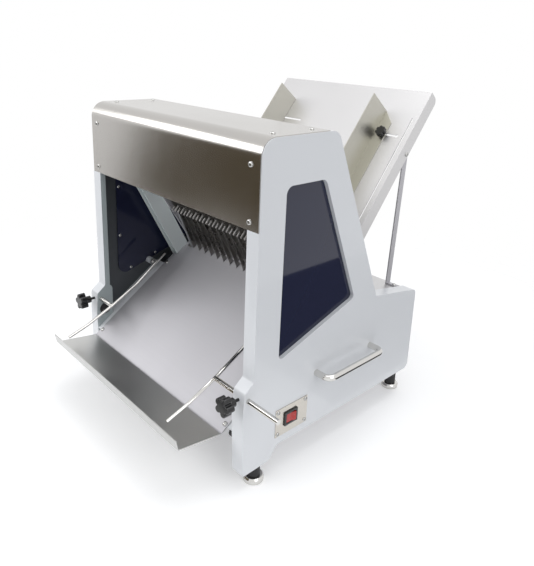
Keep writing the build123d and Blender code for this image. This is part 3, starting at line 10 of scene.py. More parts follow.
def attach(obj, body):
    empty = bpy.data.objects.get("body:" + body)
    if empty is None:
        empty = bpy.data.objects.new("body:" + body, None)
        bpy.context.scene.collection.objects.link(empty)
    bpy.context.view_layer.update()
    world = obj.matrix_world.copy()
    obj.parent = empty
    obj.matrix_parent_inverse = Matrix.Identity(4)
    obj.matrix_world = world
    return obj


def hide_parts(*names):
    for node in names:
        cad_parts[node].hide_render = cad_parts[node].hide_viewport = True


bl_info = {
    "name": "Bread Slicer Looks",
    "version": (1, 0, 0),
    "blender": (4, 5, 0),
    "location": "View3D > Sidebar > Slicer",
    "description": "Builds the visible surfaces of a countertop bread slicer round its packed parts",
    "category": "Object",
}

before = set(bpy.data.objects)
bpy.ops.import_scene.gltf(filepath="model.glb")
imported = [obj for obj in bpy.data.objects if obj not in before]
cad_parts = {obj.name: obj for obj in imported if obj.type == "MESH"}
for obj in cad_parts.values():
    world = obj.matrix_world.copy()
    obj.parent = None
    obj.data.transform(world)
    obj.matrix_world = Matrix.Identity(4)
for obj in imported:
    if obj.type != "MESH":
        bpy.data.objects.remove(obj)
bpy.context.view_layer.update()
MM = 0.001
FRONT_Y = -0.249  # front face of the hood
WEB_FROM = 0.255  # a panel's inward faces farther out than this belong to its web
SLIDE_ANGLE = math.radians(62.0)
TRAY_ANGLE = math.radians(35.0)
INFEED_ANGLE = math.radians(51.3)
COVER_ANGLE = math.atan2(-27, 152)  # fall of the rear cover's top
TRAY_FOLD = (-36, 110)  # (y, z) of the fold between discharge tray and trough
TROUGH_FROM = FRONT_Y - 0.038  # the tray's faces in front of this belong to the trough
SLIDE_FOOT_Y = 224  # where the blades' slide line crosses the discharge tray
INFEED_FOOT = (335.4, 421.9)  # (y, z) of the infeed tray's reference point
NECK = (339, 285)  # (y, z) of the rear cover's front corner
SMOOTH_ANGLE = math.radians(32.0)


# ---------------------------------------------------------------- places on the machine
def place(x, y, z):
    """A point in metres from millimetres, with y counted from the hood's front face."""
    return Vector((x * MM, FRONT_Y + y * MM, z * MM))


def slide_point(n, t):
    """(y, z) in millimetres of a point n behind and t along the blades' slide line."""
    s, c = math.sin(SLIDE_ANGLE), math.cos(SLIDE_ANGLE)
    foot_z = TRAY_FOLD[1] + (SLIDE_FOOT_Y - TRAY_FOLD[0]) * math.tan(TRAY_ANGLE)
    return SLIDE_FOOT_Y + n * s - t * c, foot_z + n * c + t * s


def tray_point(x, d):
    """A point on the discharge tray, d up its slope from the fold."""
    return place(x, TRAY_FOLD[0] + d * math.cos(TRAY_ANGLE), TRAY_FOLD[1] + d * math.sin(TRAY_ANGLE))


def infeed_point(x, s, h):
    """A point s up the infeed tray's slope and h above its surface."""
    s1, c1 = math.sin(INFEED_ANGLE), math.cos(INFEED_ANGLE)
    return place(x, INFEED_FOOT[0] + s * c1 - h * s1, INFEED_FOOT[1] + s * s1 + h * c1)


def cover_point(x, d, rise=0):
    """A point d down the rear cover's slope from its front corner, and rise above it."""
    drop, run = math.sin(COVER_ANGLE), math.cos(COVER_ANGLE)
    return place(x, NECK[0] + d * run, NECK[1] + d * drop) + COVER_UP * rise * MM


TRAY_UP = Vector((0, -math.sin(TRAY_ANGLE), math.cos(TRAY_ANGLE)))
INFEED_ALONG = Vector((0, math.cos(INFEED_ANGLE), math.sin(INFEED_ANGLE)))
COVER_UP = Vector((0, -math.sin(COVER_ANGLE), math.cos(COVER_ANGLE)))
SLIDE_OUT = Vector((0, math.sin(SLIDE_ANGLE), math.cos(SLIDE_ANGLE)))


# ---------------------------------------------------------------- shader node groups
def new_group(name, inputs, outputs):
    """A shader node group with float inputs and outputs, and its two end nodes."""
    group = bpy.data.node_groups.new(name, "ShaderNodeTree")
    for label, default in inputs:
        kind = "NodeSocketVector" if isinstance(default, tuple) else "NodeSocketFloat"
        socket = group.interface.new_socket(label, in_out="INPUT", socket_type=kind)
        socket.default_value = default
    for label in outputs:
        group.interface.new_socket(label, in_out="OUTPUT", socket_type="NodeSocketFloat")
    return group, group.nodes.new("NodeGroupInput"), group.nodes.new("NodeGroupOutput")


def math_node(tree, operation, *inputs):
    """The result of a math node whose inputs are sockets or plain numbers."""
    node = tree.nodes.new("ShaderNodeMath")
    node.operation = operation
    for i, value in enumerate(inputs):
        if isinstance(value, (int, float)):
            node.inputs[i].default_value = value
        else:
            tree.links.new(value, node.inputs[i])
    return node.outputs["Value"]


def brushed_group():
    """Fine straight grain and broad smears, for rolled and brushed sheet."""
    group, given, out = new_group(
        "Brushed Grain",
        [("Grain", (900.0, 6.0, 6.0)), ("Roughness", 0.3), ("Variation", 0.15), ("Smear Size", 9.0)],
        ["Height", "Roughness"],
    )
    nodes, links = group.nodes, group.links
    coords = nodes.new("ShaderNodeTexCoord")
    stretch = nodes.new("ShaderNodeMapping")
    links.new(coords.outputs["Object"], stretch.inputs["Vector"])
    links.new(given.outputs["Grain"], stretch.inputs["Scale"])
    grain = nodes.new("ShaderNodeTexNoise")
    grain.inputs["Scale"].default_value = 1.0
    grain.inputs["Detail"].default_value = 3.0
    links.new(stretch.outputs["Vector"], grain.inputs["Vector"])
    smears = nodes.new("ShaderNodeTexNoise")
    smears.inputs["Detail"].default_value = 4.0
    links.new(coords.outputs["Object"], smears.inputs["Vector"])
    links.new(given.outputs["Smear Size"], smears.inputs["Scale"])
    both = math_node(group, "ADD", grain.outputs["Fac"], smears.outputs["Fac"])
    centred = math_node(group, "SUBTRACT", both, 1.0)
    rough = math_node(
        group, "MULTIPLY_ADD", centred, given.outputs["Variation"], given.outputs["Roughness"]
    )
    links.new(rough, out.inputs["Roughness"])
    links.new(grain.outputs["Fac"], out.inputs["Height"])
    return group


def skin_group():
    """Fine pebbled skin with handling marks, for paint, rubber and moulded plastic."""
    group, given, out = new_group(
        "Moulded Skin",
        [("Pebble Size", 700.0), ("Roughness", 0.4), ("Variation", 0.12), ("Mark Size", 14.0)],
        ["Height", "Roughness"],
    )
    nodes, links = group.nodes, group.links
    coords = nodes.new("ShaderNodeTexCoord")
    pebbles = nodes.new("ShaderNodeTexNoise")
    pebbles.inputs["Detail"].default_value = 2.0
    links.new(coords.outputs["Object"], pebbles.inputs["Vector"])
    links.new(given.outputs["Pebble Size"], pebbles.inputs["Scale"])
    marks = nodes.new("ShaderNodeTexNoise")
    marks.inputs["Detail"].default_value = 5.0
    links.new(coords.outputs["Object"], marks.inputs["Vector"])
    links.new(given.outputs["Mark Size"], marks.inputs["Scale"])
    centred = math_node(group, "SUBTRACT", marks.outputs["Fac"], 0.5)
    rough = math_node(
        group, "MULTIPLY_ADD", centred, given.outputs["Variation"], given.outputs["Roughness"]
    )
    links.new(rough, out.inputs["Roughness"])
    links.new(pebbles.outputs["Fac"], out.inputs["Height"])
    return group


RELIEF_DEPTH = 0.0004


def finish_material(name, colour, group, values, bump, metallic=0.0, coat=0.0, extra=()):
    """A Principled material whose roughness and relief come from one of the shared groups."""
    material = bpy.data.materials.new(name)
    material.use_nodes = True
    nodes, links = material.node_tree.nodes, material.node_tree.links
    shader = nodes["Principled BSDF"]
    shader.inputs["Base Color"].default_value = (*colour, 1.0)
    shader.inputs["Metallic"].default_value = metallic
    shader.inputs["Coat Weight"].default_value = coat
    for socket, value in dict(extra).items():
        shader.inputs[socket].default_value = value
    surface = nodes.new("ShaderNodeGroup")
    surface.node_tree = group
    for socket, value in values.items():
        surface.inputs[socket].default_value = value
    relief = nodes.new("ShaderNodeBump")
    relief.inputs["Strength"].default_value = bump
    relief.inputs["Distance"].default_value = RELIEF_DEPTH
    links.new(surface.outputs["Roughness"], shader.inputs["Roughness"])
    links.new(surface.outputs["Height"], relief.inputs["Height"])
    links.new(relief.outputs["Normal"], shader.inputs["Normal"])


def material(name):
    return bpy.data.materials[name]


# ---------------------------------------------------------------- mesh helpers
def piece(name, mesh, body, replaced=(), finish=None):
    """Links a mesh as a piece that rides on a body and takes a finish."""
    obj = bpy.data.objects.new(name, mesh)
    bpy.context.scene.collection.objects.link(obj)
    if finish:
        mesh.materials.clear()
        mesh.materials.append(material(finish))
    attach(obj, body)
    if replaced:
        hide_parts(*replaced)
    return obj


def smooth_by_angle(mesh):
    mesh.shade_smooth()
    mesh.set_sharp_from_angle(angle=SMOOTH_ANGLE)


MERGE_GAP = 1e-5
FLAT_ANGLE = math.radians(1.0)
BEVEL_ANGLE = math.radians(40)


def softened(node, body, finish, radius, name, segments=2):
    """A copy of a CAD node with merged faces and rounded edges, in place of the node."""
    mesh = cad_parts[node].data.copy()
    work = bmesh.new()
    work.from_mesh(mesh)
    bmesh.ops.remove_doubles(work, verts=work.verts, dist=MERGE_GAP)
    bmesh.ops.dissolve_limit(work, angle_limit=FLAT_ANGLE, verts=work.verts, edges=work.edges)
    work.to_mesh(mesh)
    work.free()
    smooth_by_angle(mesh)
    obj = piece(name, mesh, body, (node,), finish)
    if radius:
        bevel = obj.modifiers.new("Rounded Edges", "BEVEL")
        bevel.width = radius
        bevel.segments = segments
        bevel.limit_method = "ANGLE"
        bevel.angle_limit = BEVEL_ANGLE
        bevel.harden_normals = True
        bevel.use_clamp_overlap = True
    return obj


def inner_faces(mesh):
    """Gives a panel's inward faces darker finishes as painted shade: a shaded grey copy of the enamel on
    its rim, and raw casting darkened with painted shade on its web.
    """
    mesh.materials.append(material("Painted Shade Grey"))
    mesh.materials.append(material("Raw Casting With Painted Shade"))
    for face in mesh.polygons:
        depth = abs(face.center.x)
        if face.normal.x * face.center.x > -0.5 * depth:
            continue
        # index 1 paints shade on the rim's inward faces, index 2 is raw casting with painted shade on the
        # web
        face.material_index = 1 if depth < WEB_FROM else 2


def lathe(work, profile, steps=28, matrix=None):
    """Adds a closed turned shape round Z from (radius, z) pairs."""
    rings = []
    for radius, z in profile:
        if radius == 0:
            rings.append([work.verts.new((0, 0, z))])
            continue
        ring = []
        for i in range(steps):
            turn = 2 * math.pi * i / steps
            ring.append(work.verts.new((radius * math.cos(turn), radius * math.sin(turn), z)))
        rings.append(ring)
    for low, high in zip(rings[:-1], rings[1:]):
        for i in range(steps):
            j = (i + 1) % steps
            if len(low) == 1:
                work.faces.new((low[0], high[j], high[i]))
            elif len(high) == 1:
                work.faces.new((low[i], low[j], high[0]))
            else:
                work.faces.new((low[i], low[j], high[j], high[i]))
    if matrix:
        fresh = [v for ring in rings for v in ring]
        bmesh.ops.transform(work, matrix=matrix, verts=fresh)


def mesh_from(work, name):
    """A smooth mesh from a bmesh, which is freed."""
    bmesh.ops.recalc_face_normals(work, faces=work.faces)
    mesh = bpy.data.meshes.new(name)
    work.to_mesh(mesh)
    work.free()
    smooth_by_angle(mesh)
    return mesh


def hidden_source(name, mesh):
    """An object that geometry nodes read as their repeated shape."""
    return bpy.data.objects.new(name, mesh)


# ---------------------------------------------------------------- geometry node trees
def new_tree(name, inputs):
    tree = bpy.data.node_groups.new(name, "GeometryNodeTree")
    tree.interface.new_socket("Geometry", in_out="INPUT", socket_type="NodeSocketGeometry")
    for label, kind, default in inputs:
        socket = tree.interface.new_socket(label, in_out="INPUT", socket_type=kind)
        if default is not None:
            socket.default_value = default
    tree.interface.new_socket("Geometry", in_out="OUTPUT", socket_type="NodeSocketGeometry")
    return tree, tree.nodes.new("NodeGroupInput"), tree.nodes.new("NodeGroupOutput")


def end_tree(tree, given, out, instances):
    realize = tree.nodes.new("GeometryNodeRealizeInstances")
    paint = tree.nodes.new("GeometryNodeSetMaterial")
    tree.links.new(instances, realize.inputs["Geometry"])
    tree.links.new(realize.outputs["Geometry"], paint.inputs["Geometry"])
    tree.links.new(given.outputs["Finish"], paint.inputs["Material"])
    tree.links.new(paint.outputs["Geometry"], out.inputs["Geometry"])


def row_tree():
    """Repeats a shape in an even row along X."""
    tree, given, out = new_tree(
        "Even Row",
        [
            ("Shape", "NodeSocketObject", None),
            ("Count", "NodeSocketInt", 17),
            ("Pitch", "NodeSocketFloat", 0.024),
            ("Finish", "NodeSocketMaterial", None),
        ],
    )
    nodes, links = tree.nodes, tree.links
    step = nodes.new("ShaderNodeCombineXYZ")
    links.new(given.outputs["Pitch"], step.inputs["X"])
    gaps = math_node(tree, "SUBTRACT", given.outputs["Count"], 1.0)
    half = math_node(tree, "MULTIPLY", gaps, -0.5)
    first = math_node(tree, "MULTIPLY", half, given.outputs["Pitch"])
    start = nodes.new("ShaderNodeCombineXYZ")
    links.new(first, start.inputs["X"])
    line = nodes.new("GeometryNodeMeshLine")
    links.new(given.outputs["Count"], line.inputs["Count"])
    links.new(start.outputs["Vector"], line.inputs["Start Location"])
    links.new(step.outputs["Vector"], line.inputs["Offset"])
    shape = nodes.new("GeometryNodeObjectInfo")
    links.new(given.outputs["Shape"], shape.inputs["Object"])
    copies = nodes.new("GeometryNodeInstanceOnPoints")
    links.new(line.outputs["Mesh"], copies.inputs["Points"])
    links.new(shape.outputs["Geometry"], copies.inputs["Instance"])
    end_tree(tree, given, out, copies.outputs["Instances"])
    return tree


def seat_tree():
    """Stands a shape on each seat point, along the point's own direction, turned at random."""
    tree, given, out = new_tree(
        "Screws On Seats",
        [
            ("Shape", "NodeSocketObject", None),
            ("Head Diameter", "NodeSocketFloat", 0.0096),
            ("Head Height", "NodeSocketFloat", 0.0028),
            ("Seed", "NodeSocketInt", 7),
            ("Finish", "NodeSocketMaterial", None),
        ],
    )
    nodes, links = tree.nodes, tree.links
    facing = nodes.new("GeometryNodeInputNamedAttribute")
    facing.data_type = "FLOAT_VECTOR"
    facing.inputs["Name"].default_value = "facing"
    stand = nodes.new("FunctionNodeAlignRotationToVector")
    stand.axis = "Z"
    links.new(facing.outputs["Attribute"], stand.inputs["Vector"])
    turn = nodes.new("FunctionNodeRandomValue")
    turn.data_type = "FLOAT_VECTOR"
    turn.inputs[0].default_value = (0, 0, 0)
    turn.inputs[1].default_value = (0, 0, math.pi / 2)
    links.new(given.outputs["Seed"], turn.inputs["Seed"])
    spin = nodes.new("FunctionNodeEulerToRotation")
    links.new(turn.outputs[0], spin.inputs["Euler"])
    aimed = nodes.new("FunctionNodeRotateRotation")
    aimed.rotation_space = "LOCAL"
    links.new(stand.outputs["Rotation"], aimed.inputs["Rotation"])
    links.new(spin.outputs["Rotation"], aimed.inputs["Rotate By"])
    size = nodes.new("ShaderNodeCombineXYZ")
    links.new(given.outputs["Head Diameter"], size.inputs["X"])
    links.new(given.outputs["Head Diameter"], size.inputs["Y"])
    links.new(given.outputs["Head Height"], size.inputs["Z"])
    shape = nodes.new("GeometryNodeObjectInfo")
    links.new(given.outputs["Shape"], shape.inputs["Object"])
    copies = nodes.new("GeometryNodeInstanceOnPoints")
    links.new(given.outputs["Geometry"], copies.inputs["Points"])
    links.new(shape.outputs["Geometry"], copies.inputs["Instance"])
    links.new(aimed.outputs["Rotation"], copies.inputs["Rotation"])
    links.new(size.outputs["Vector"], copies.inputs["Scale"])
    end_tree(tree, given, out, copies.outputs["Instances"])
    return tree


def grown(name, mesh, tree, values):
    """The plain mesh that a geometry nodes tree makes of a base mesh."""
    carrier = bpy.data.objects.new(name, mesh)
    bpy.context.scene.collection.objects.link(carrier)
    modifier = carrier.modifiers.new(tree.name, "NODES")
    modifier.node_group = tree
    for item in tree.interface.items_tree:
        if item.in_out == "INPUT" and item.name in values:
            modifier[item.identifier] = values[item.name]
    for value in values.values():
        if isinstance(value, bpy.types.Object):
            bpy.context.scene.collection.objects.link(value)
    bpy.context.view_layer.update()
    graph = bpy.context.evaluated_depsgraph_get()
    result = bpy.data.meshes.new_from_object(carrier.evaluated_get(graph))
    result.name = name
    for value in values.values():
        if isinstance(value, bpy.types.Object):
            bpy.data.objects.remove(value)
    bpy.data.objects.remove(carrier)
    smooth_by_angle(result)
    return result


# ---------------------------------------------------------------- settings
def colour_property(name, default, description):
    return bpy.props.FloatVectorProperty(
        name=name, description=description, subtype="COLOR", size=3, default=default, min=0.0, max=1.0
    )


def length_property(name, default, description):
    return bpy.props.FloatProperty(
        name=name, description=description, default=default, min=0.0, unit="LENGTH"
    )


class SlicerColours(bpy.types.PropertyGroup):
    """Colours of the slicer's finishes."""

    panel_paint: colour_property("Panel Paint", (0.70, 0.715, 0.74), "Enamel on the cast side panels")
    hood_steel: colour_property("Hood Steel", (0.51, 0.495, 0.475), "Brushed sheet of the hood")
    tray_steel: colour_property("Tray Steel", (0.50, 0.495, 0.52), "Satin sheet of the discharge tray")
    infeed_steel: colour_property("Infeed Steel", (0.62, 0.615, 0.62), "Satin sheet of the infeed tray")
    blade_steel: colour_property("Blade Steel", (0.30, 0.29, 0.28), "Ground blades")
    chrome: colour_property("Chrome", (0.66, 0.65, 0.63), "Plated rods, handles and feet")
    black_plastic: colour_property("Black Plastic", (0.005, 0.005, 0.006), "Knobs and switch frame")
    rocker_red: colour_property("Rocker Red", (0.42, 0.010, 0.008), "Switch rocker")
    smoked_pane: colour_property("Smoked Pane", (0.017, 0.020, 0.048), "Tinted window panes")


class SlicerSizes(bpy.types.PropertyGroup):
    """Sizes of the slicer's details."""

    cast_edge: length_property("Cast Edge", 0.0016, "Rounding of the cast panels' edges")
    sheet_edge: length_property("Sheet Edge", 0.0004, "Rounding of cut sheet edges")
    screw_head: length_property("Screw Head", 0.0096, "Diameter of the cover screws' heads")
    screw_rise: length_property("Screw Rise", 0.0028, "Height of the cover screws' heads")
    tooth_pitch: length_property("Tooth Pitch", 0.012, "Length of one scallop on a blade")
    tooth_depth: length_property("Tooth Depth", 0.0014, "Depth of one scallop on a blade")
    blade_pitch: length_property("Blade Pitch", 0.012, "Distance between neighbouring blades")
    lens: bpy.props.FloatProperty(
        name="Lens", description="Focal length", default=36.97, min=1.0, unit="CAMERA"
    )


# ---------------------------------------------------------------- operators
UPRIGHT = {"Grain": (2400.0, 5.0, 5.0), "Roughness": 0.20, "Variation": 0.12, "Smear Size": 5.0}
ACROSS = {"Grain": (4.0, 900.0, 900.0), "Roughness": 0.34, "Variation": 0.12, "Smear Size": 6.0}
ROLLED = {"Grain": (70.0, 26.0, 26.0), "Roughness": 0.34, "Variation": 0.08, "Smear Size": 12.0}
TURNED = {"Grain": (600.0, 60.0, 60.0), "Roughness": 0.14, "Variation": 0.10, "Smear Size": 30.0}
CASTING = {"Pebble Size": 260.0, "Roughness": 0.42, "Variation": 0.40, "Mark Size": 22.0}
PAINT = {"Pebble Size": 420.0, "Roughness": 0.34, "Variation": 0.10, "Mark Size": 9.0}

# name: (colour or the setting that holds it, grain, changes to the grain, relief, other socket values)
METALS = {
    "Hood Brushed Steel": ("hood_steel", UPRIGHT, {}, 0.07, {}),
    "Switch Plate Steel": ((0.60, 0.57, 0.52), UPRIGHT, {"Roughness": 0.18}, 0.04, {}),
    "Tray Satin Steel": ("tray_steel", ACROSS, {"Roughness": 0.60}, 0.05, {"metallic": 0.85}),
    "Trough Rolled Steel": ((0.60, 0.60, 0.59), ROLLED, {}, 0.01, {}),
    "Infeed Satin Steel": ("infeed_steel", ACROSS, {"Roughness": 0.42}, 0.04, {}),
    "Guide Plate Steel": ((0.50, 0.49, 0.44), ACROSS, {"Roughness": 0.36}, 0.05, {}),
    "Ground Blade Steel": ("blade_steel", TURNED, {"Roughness": 0.28}, 0.05, {}),
    "Bright Chrome": ("chrome", TURNED, {"Roughness": 0.12, "Variation": 0.02}, 0.002, {}),
    "Screw Steel": ((0.50, 0.50, 0.49), TURNED, {"Roughness": 0.26}, 0.03, {}),
    "Milled Rail": ((0.70, 0.71, 0.72), TURNED, {"Roughness": 0.38}, 0.05, {}),
    "Comb Steel": ((0.34, 0.33, 0.32), TURNED, {"Roughness": 0.36}, 0.04, {"metallic": 0.7}),
}
SKINS = {
    "Panel Enamel": ("panel_paint", PAINT, {}, 0.10, {"coat": 0.25}),
    "Rail Enamel": ((0.80, 0.86, 0.86), PAINT, {"Roughness": 0.40}, 0.08, {}),
    # painted shade: a darker grey copy of the panel enamel, for the inward faces of the panel rims
    "Painted Shade Grey": ((0.40, 0.45, 0.46), PAINT, {"Roughness": 0.50}, 0.15, {}),
    # raw casting, darkened further with painted shade, for the inward faces of the panel webs
    "Raw Casting With Painted Shade": ((0.085, 0.092, 0.10), CASTING, {}, 0.35, {"metallic": 0.5}),
    "Black Knob Plastic": ("black_plastic", PAINT, {"Roughness": 0.24}, 0.02, {"coat": 0.15}),
    "Black Rubber": ((0.016, 0.016, 0.017), PAINT, {"Roughness": 0.62}, 0.18, {}),
    "Natural Nylon": ((0.70, 0.68, 0.60), PAINT, {"Roughness": 0.46}, 0.08, {}),
    "Motor Enamel": ((0.09, 0.10, 0.11), PAINT, {"Roughness": 0.42}, 0.15, {}),
    "Rocker Red Plastic": ("rocker_red", PAINT, {"Roughness": 0.20}, 0.02, {"coat": 0.3}),
    "Smoked Pane": (
        "smoked_pane", PAINT, {"Roughness": 0.04, "Variation": 0.03}, 0.0,
        {"extra": {"Transmission Weight": 0.08, "IOR": 1.49}},
    ),
}


class SLICER_OT_finishes(bpy.types.Operator):
    """Makes the materials and their shared node groups"""

    bl_idname = "slicer.finishes"
    bl_label = "Finishes"

    def execute(self, context):
        settings = context.scene.slicer_colours
        for table, group, metallic in ((METALS, brushed_group(), 1.0), (SKINS, skin_group(), 0.0)):
            for name, (colour, grain, changes, relief, sockets) in table.items():
                if isinstance(colour, str):
                    colour = getattr(settings, colour)
                values = {"metallic": metallic, **sockets}
                finish_material(name, colour, group, {**grain, **changes}, relief, **values)
        return {"FINISHED"}


# rounding of the edges, in metres
RAIL_EDGE = 0.0006
FOOT_EDGE = 0.0008
BUFFER_EDGE = 0.0015
BOLT_EDGE = 0.0004
MOULDED_EDGE = 0.0006
ROCKER_EDGE = 0.0005

# inner parts that keep their shape, by finish
CARRIED = {
    "Tray Satin Steel": ["tie_rods", "ridge_bar", "comb_bar", "blade_frame_a", "blade_frame_b", "base_pan"],
    "Milled Rail": ["main_pulley", "motor_pulley", "connecting_rods_a", "connecting_rods_b"],
    "Natural Nylon": ["slide_shoes_a", "slide_shoes_b", "guide_blocks"],
    "Ground Blade Steel": ["crankshaft", "motor_shaft", "shaft_bearings"],
    "Screw Steel": ["wrist_bolts_a", "wrist_bolts_b", "guide_nut_right", "guide_nut_left"],
    "Motor Enamel": ["motor"],
    "Black Rubber": ["drive_belt"],
}


class SLICER_OT_mechanism(bpy.types.Operator):
    """Finishes the inner parts whose shape is kept"""

    bl_idname = "slicer.mechanism"
    bl_label = "Mechanism"

    def execute(self, context):
        for finish, nodes in CARRIED.items():
            for node in nodes:
                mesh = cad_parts[node].data
                mesh.materials.clear()
                mesh.materials.append(material(finish))
        return {"FINISHED"}


class SLICER_OT_panels(bpy.types.Operator):
    """Rounds and paints the cast side panels and their window panes"""

    bl_idname = "slicer.panels"
    bl_label = "Side Panels"

    def execute(self, context):
        edge = context.scene.slicer_sizes.cast_edge
        for hand in ("right", "left"):
            panel = softened(
                f"side_panel_{hand}", "chassis", "Panel Enamel", edge, f"Panel{hand.title()}", segments=3
            )
            # painted shade on the panel's inward faces: rims and web darker than the enamel
            inner_faces(panel.data)
        softened("window_panes", "chassis", "Smoked Pane", 0.0, "WindowPanes")
        return {"FINISHED"}


class SLICER_OT_sheets(bpy.types.Operator):
    """Makes the hood, trays, guides, covers and struts in sheet steel"""

    bl_idname = "slicer.sheets"
    bl_label = "Sheet Steel"

    def execute(self, context):
        edge = context.scene.slicer_sizes.sheet_edge
        softened("hood", "chassis", "Hood Brushed Steel", edge, "Hood")
        tray = softened("discharge_tray", "chassis", "Tray Satin Steel", 0.0, "DischargeTray")
        tray.data.materials.append(material("Trough Rolled Steel"))
        for face in tray.data.polygons:
            if face.center.y < TROUGH_FROM:
                face.material_index = 1
        softened("infeed_tray", "chassis", "Infeed Satin Steel", edge, "InfeedTray")
        for hand in ("right", "left"):
            guide = f"infeed_guide_{hand}"
            softened(guide, guide, "Guide Plate Steel", edge, f"InfeedGuide{hand.title()}")
        softened("struts", "chassis", "Tray Satin Steel", edge, "Struts")
        softened("rear_cover", "chassis", "Infeed Satin Steel", edge, "RearCover")
        softened("switch_plate", "chassis", "Switch Plate Steel", edge, "SwitchPlate")
        softened("blade_rails", "chassis", "Rail Enamel", RAIL_EDGE, "BladeRails")
        return {"FINISHED"}


class SLICER_OT_rods(bpy.types.Operator):
    """Makes the plated guide rods, handles and levelling feet"""

    bl_idname = "slicer.rods"
    bl_label = "Rods, Handles And Feet"

    def execute(self, context):
        for hand in ("right", "left"):
            rod = f"guide_rod_{hand}"
            softened(rod, rod, "Bright Chrome", 0.0, f"GuideRod{hand.title()}")
        softened("handles", "chassis", "Bright Chrome", 0.0, "Handles")
        for end in ("front", "rear"):
            for hand in ("right", "left"):
                node = f"foot_{end}_{hand}"
                softened(node, node, "Bright Chrome", FOOT_EDGE, f"Foot{end.title()}{hand.title()}")
        softened("foot_collars", "chassis", "Black Rubber", FOOT_EDGE, "FootCollars")
        softened("lug_buffers", "chassis", "Black Rubber", BUFFER_EDGE, "LugBuffers")
        softened("cable_gland", "chassis", "Black Rubber", MOULDED_EDGE, "CableGland")
        softened("panel_bolts", "chassis", "Screw Steel", BOLT_EDGE, "PanelBolts")
        return {"FINISHED"}


class SLICER_OT_knobs(bpy.types.Operator):
    """Makes the star knobs and the rocker switch in moulded plastic"""

    bl_idname = "slicer.knobs"
    bl_label = "Knobs And Switch"

    def execute(self, context):
        for hand in ("right", "left"):
            for knob, body in (("clamp_knob", f"clamp_{hand}"), ("guide_knob", f"guide_knob_{hand}")):
                name = f"{knob.title().replace('_', '')}{hand.title()}"
                softened(f"{knob}_{hand}", body, "Black Knob Plastic", MOULDED_EDGE, name)
        softened("switch_bezel", "chassis", "Black Knob Plastic", MOULDED_EDGE, "SwitchBezel")
        softened("switch_rocker", "rocker", "Rocker Red Plastic", ROCKER_EDGE, "SwitchRocker")
        return {"FINISHED"}


# blade sizes in millimetres, along the blade from its crossing point
BLADE_LOW = -110.4
BLADE_TOP = 235.9
BLADE_TAIL = 13.0
BLADE_PLAIN = 14.0  # toothless length at each end
BLADE_WIDTH = 12.0
BLADE_THICK = 0.8
GROUND_WIDTH = 2.2
EDGE_HALF = 0.12
TOOTH_STEPS = 6
CROSSING_T = 65.0
LEAN = math.radians(5.0)
BAR_FROM_END = 10.5
BAR_HALF = 3.5
BAR_R = 2.5
BAR_CHAMFER = 0.2


def blade_mesh(sign, pitch, depth):
    """One blade strip with a scalloped, hollow-ground edge and a crossbar at each end."""

    def at(x, n, b):
        along = b * math.cos(LEAN)
        y, z = slide_point(n * math.cos(LEAN) + sign * b * math.sin(LEAN),
                           CROSSING_T + along - sign * n * math.sin(LEAN))
        return place(x, y, z)

    work = bmesh.new()
    first, last = BLADE_LOW + BLADE_PLAIN, BLADE_TOP - BLADE_PLAIN
    step = pitch / TOOTH_STEPS
    steps = [first + i * step for i in range(int((last - first) / step) + 1)]
    back, half = -BLADE_WIDTH / 2, BLADE_THICK / 2
    rows = []
    for b in (BLADE_LOW - BLADE_TAIL, *steps, BLADE_TOP + BLADE_TAIL):
        edge, thin = BLADE_WIDTH / 2, half
        if first <= b <= last:
            edge -= depth * abs(math.sin(math.pi * (b - first) / pitch))
            thin = EDGE_HALF
        left = [(-half, back), (-half, edge - GROUND_WIDTH), (-thin, edge)]
        right = [(-x, n) for x, n in reversed(left)]
        rows.append([work.verts.new(at(x, n, b)) for x, n in left + right])
    for low, high in zip(rows[:-1], rows[1:]):
        for i in range(6):
            j = (i + 1) % 6
            work.faces.new((low[i], low[j], high[j], high[i]))
    work.faces.new(rows[0])
    work.faces.new(rows[-1])
    end, shoulder = BAR_HALF, BAR_HALF - BAR_CHAMFER
    rim = BAR_R - BAR_CHAMFER
    profile = [(0, -end), (rim, -end), (BAR_R, -shoulder), (BAR_R, shoulder), (rim, end), (0, end)]
    for b in (BLADE_LOW - BAR_FROM_END, BLADE_TOP + BAR_FROM_END):
        matrix = Matrix.Translation(at(0, 0, b)) @ Matrix.Rotation(math.pi / 2, 4, "Y")
        lathe(work, [(r * MM, z * MM) for r, z in profile], 12, matrix)
    return mesh_from(work, "BladeShape")


FINGER_FOOT = (-138.8, 130.5)  # up the infeed slope, above its surface
FINGER_R = 2.5
FINGER_L = 130.8
FINGER_NOSE = [(0, 0), (0.5, 0.07), (0.85, 0.4), (1, 1)]  # in finger radii
FINGERS = 32


class SLICER_OT_blades(bpy.types.Operator):
    """Makes the two rows of scalloped blades"""

    bl_idname = "slicer.blades"
    bl_label = "Blades"

    def execute(self, context):
        sizes = context.scene.slicer_sizes
        tree = row_tree()
        for sign, count, name in ((1, 17, "a"), (-1, 16, "b")):
            blade = blade_mesh(sign, sizes.tooth_pitch / MM, sizes.tooth_depth / MM)
            mesh = grown(f"Blades{name.upper()}", bpy.data.meshes.new("Row"), tree, {
                "Shape": hidden_source("BladeShape", blade), "Count": count,
                "Pitch": 2 * sizes.blade_pitch, "Finish": material("Ground Blade Steel"),
            })
            piece(f"Blades{name.upper()}", mesh, f"frame_{name}", (f"blades_{name}",))
        work = bmesh.new()
        aim = INFEED_ALONG.to_track_quat("Z", "Y").to_matrix().to_4x4()
        r, length = FINGER_R * MM, FINGER_L * MM
        profile = [(a * r, b * r) for a, b in FINGER_NOSE] + [(r, length), (0, length)]
        lathe(work, profile, 16, Matrix.Translation(infeed_point(0, *FINGER_FOOT)) @ aim)
        mesh = grown("CombFingers", bpy.data.meshes.new("Row"), tree, {
            "Shape": hidden_source("FingerShape", mesh_from(work, "FingerShape")), "Count": FINGERS,
            "Pitch": sizes.blade_pitch, "Finish": material("Comb Steel"),
        })
        piece("CombFingers", mesh, "chassis", ("comb_fingers",))
        return {"FINISHED"}


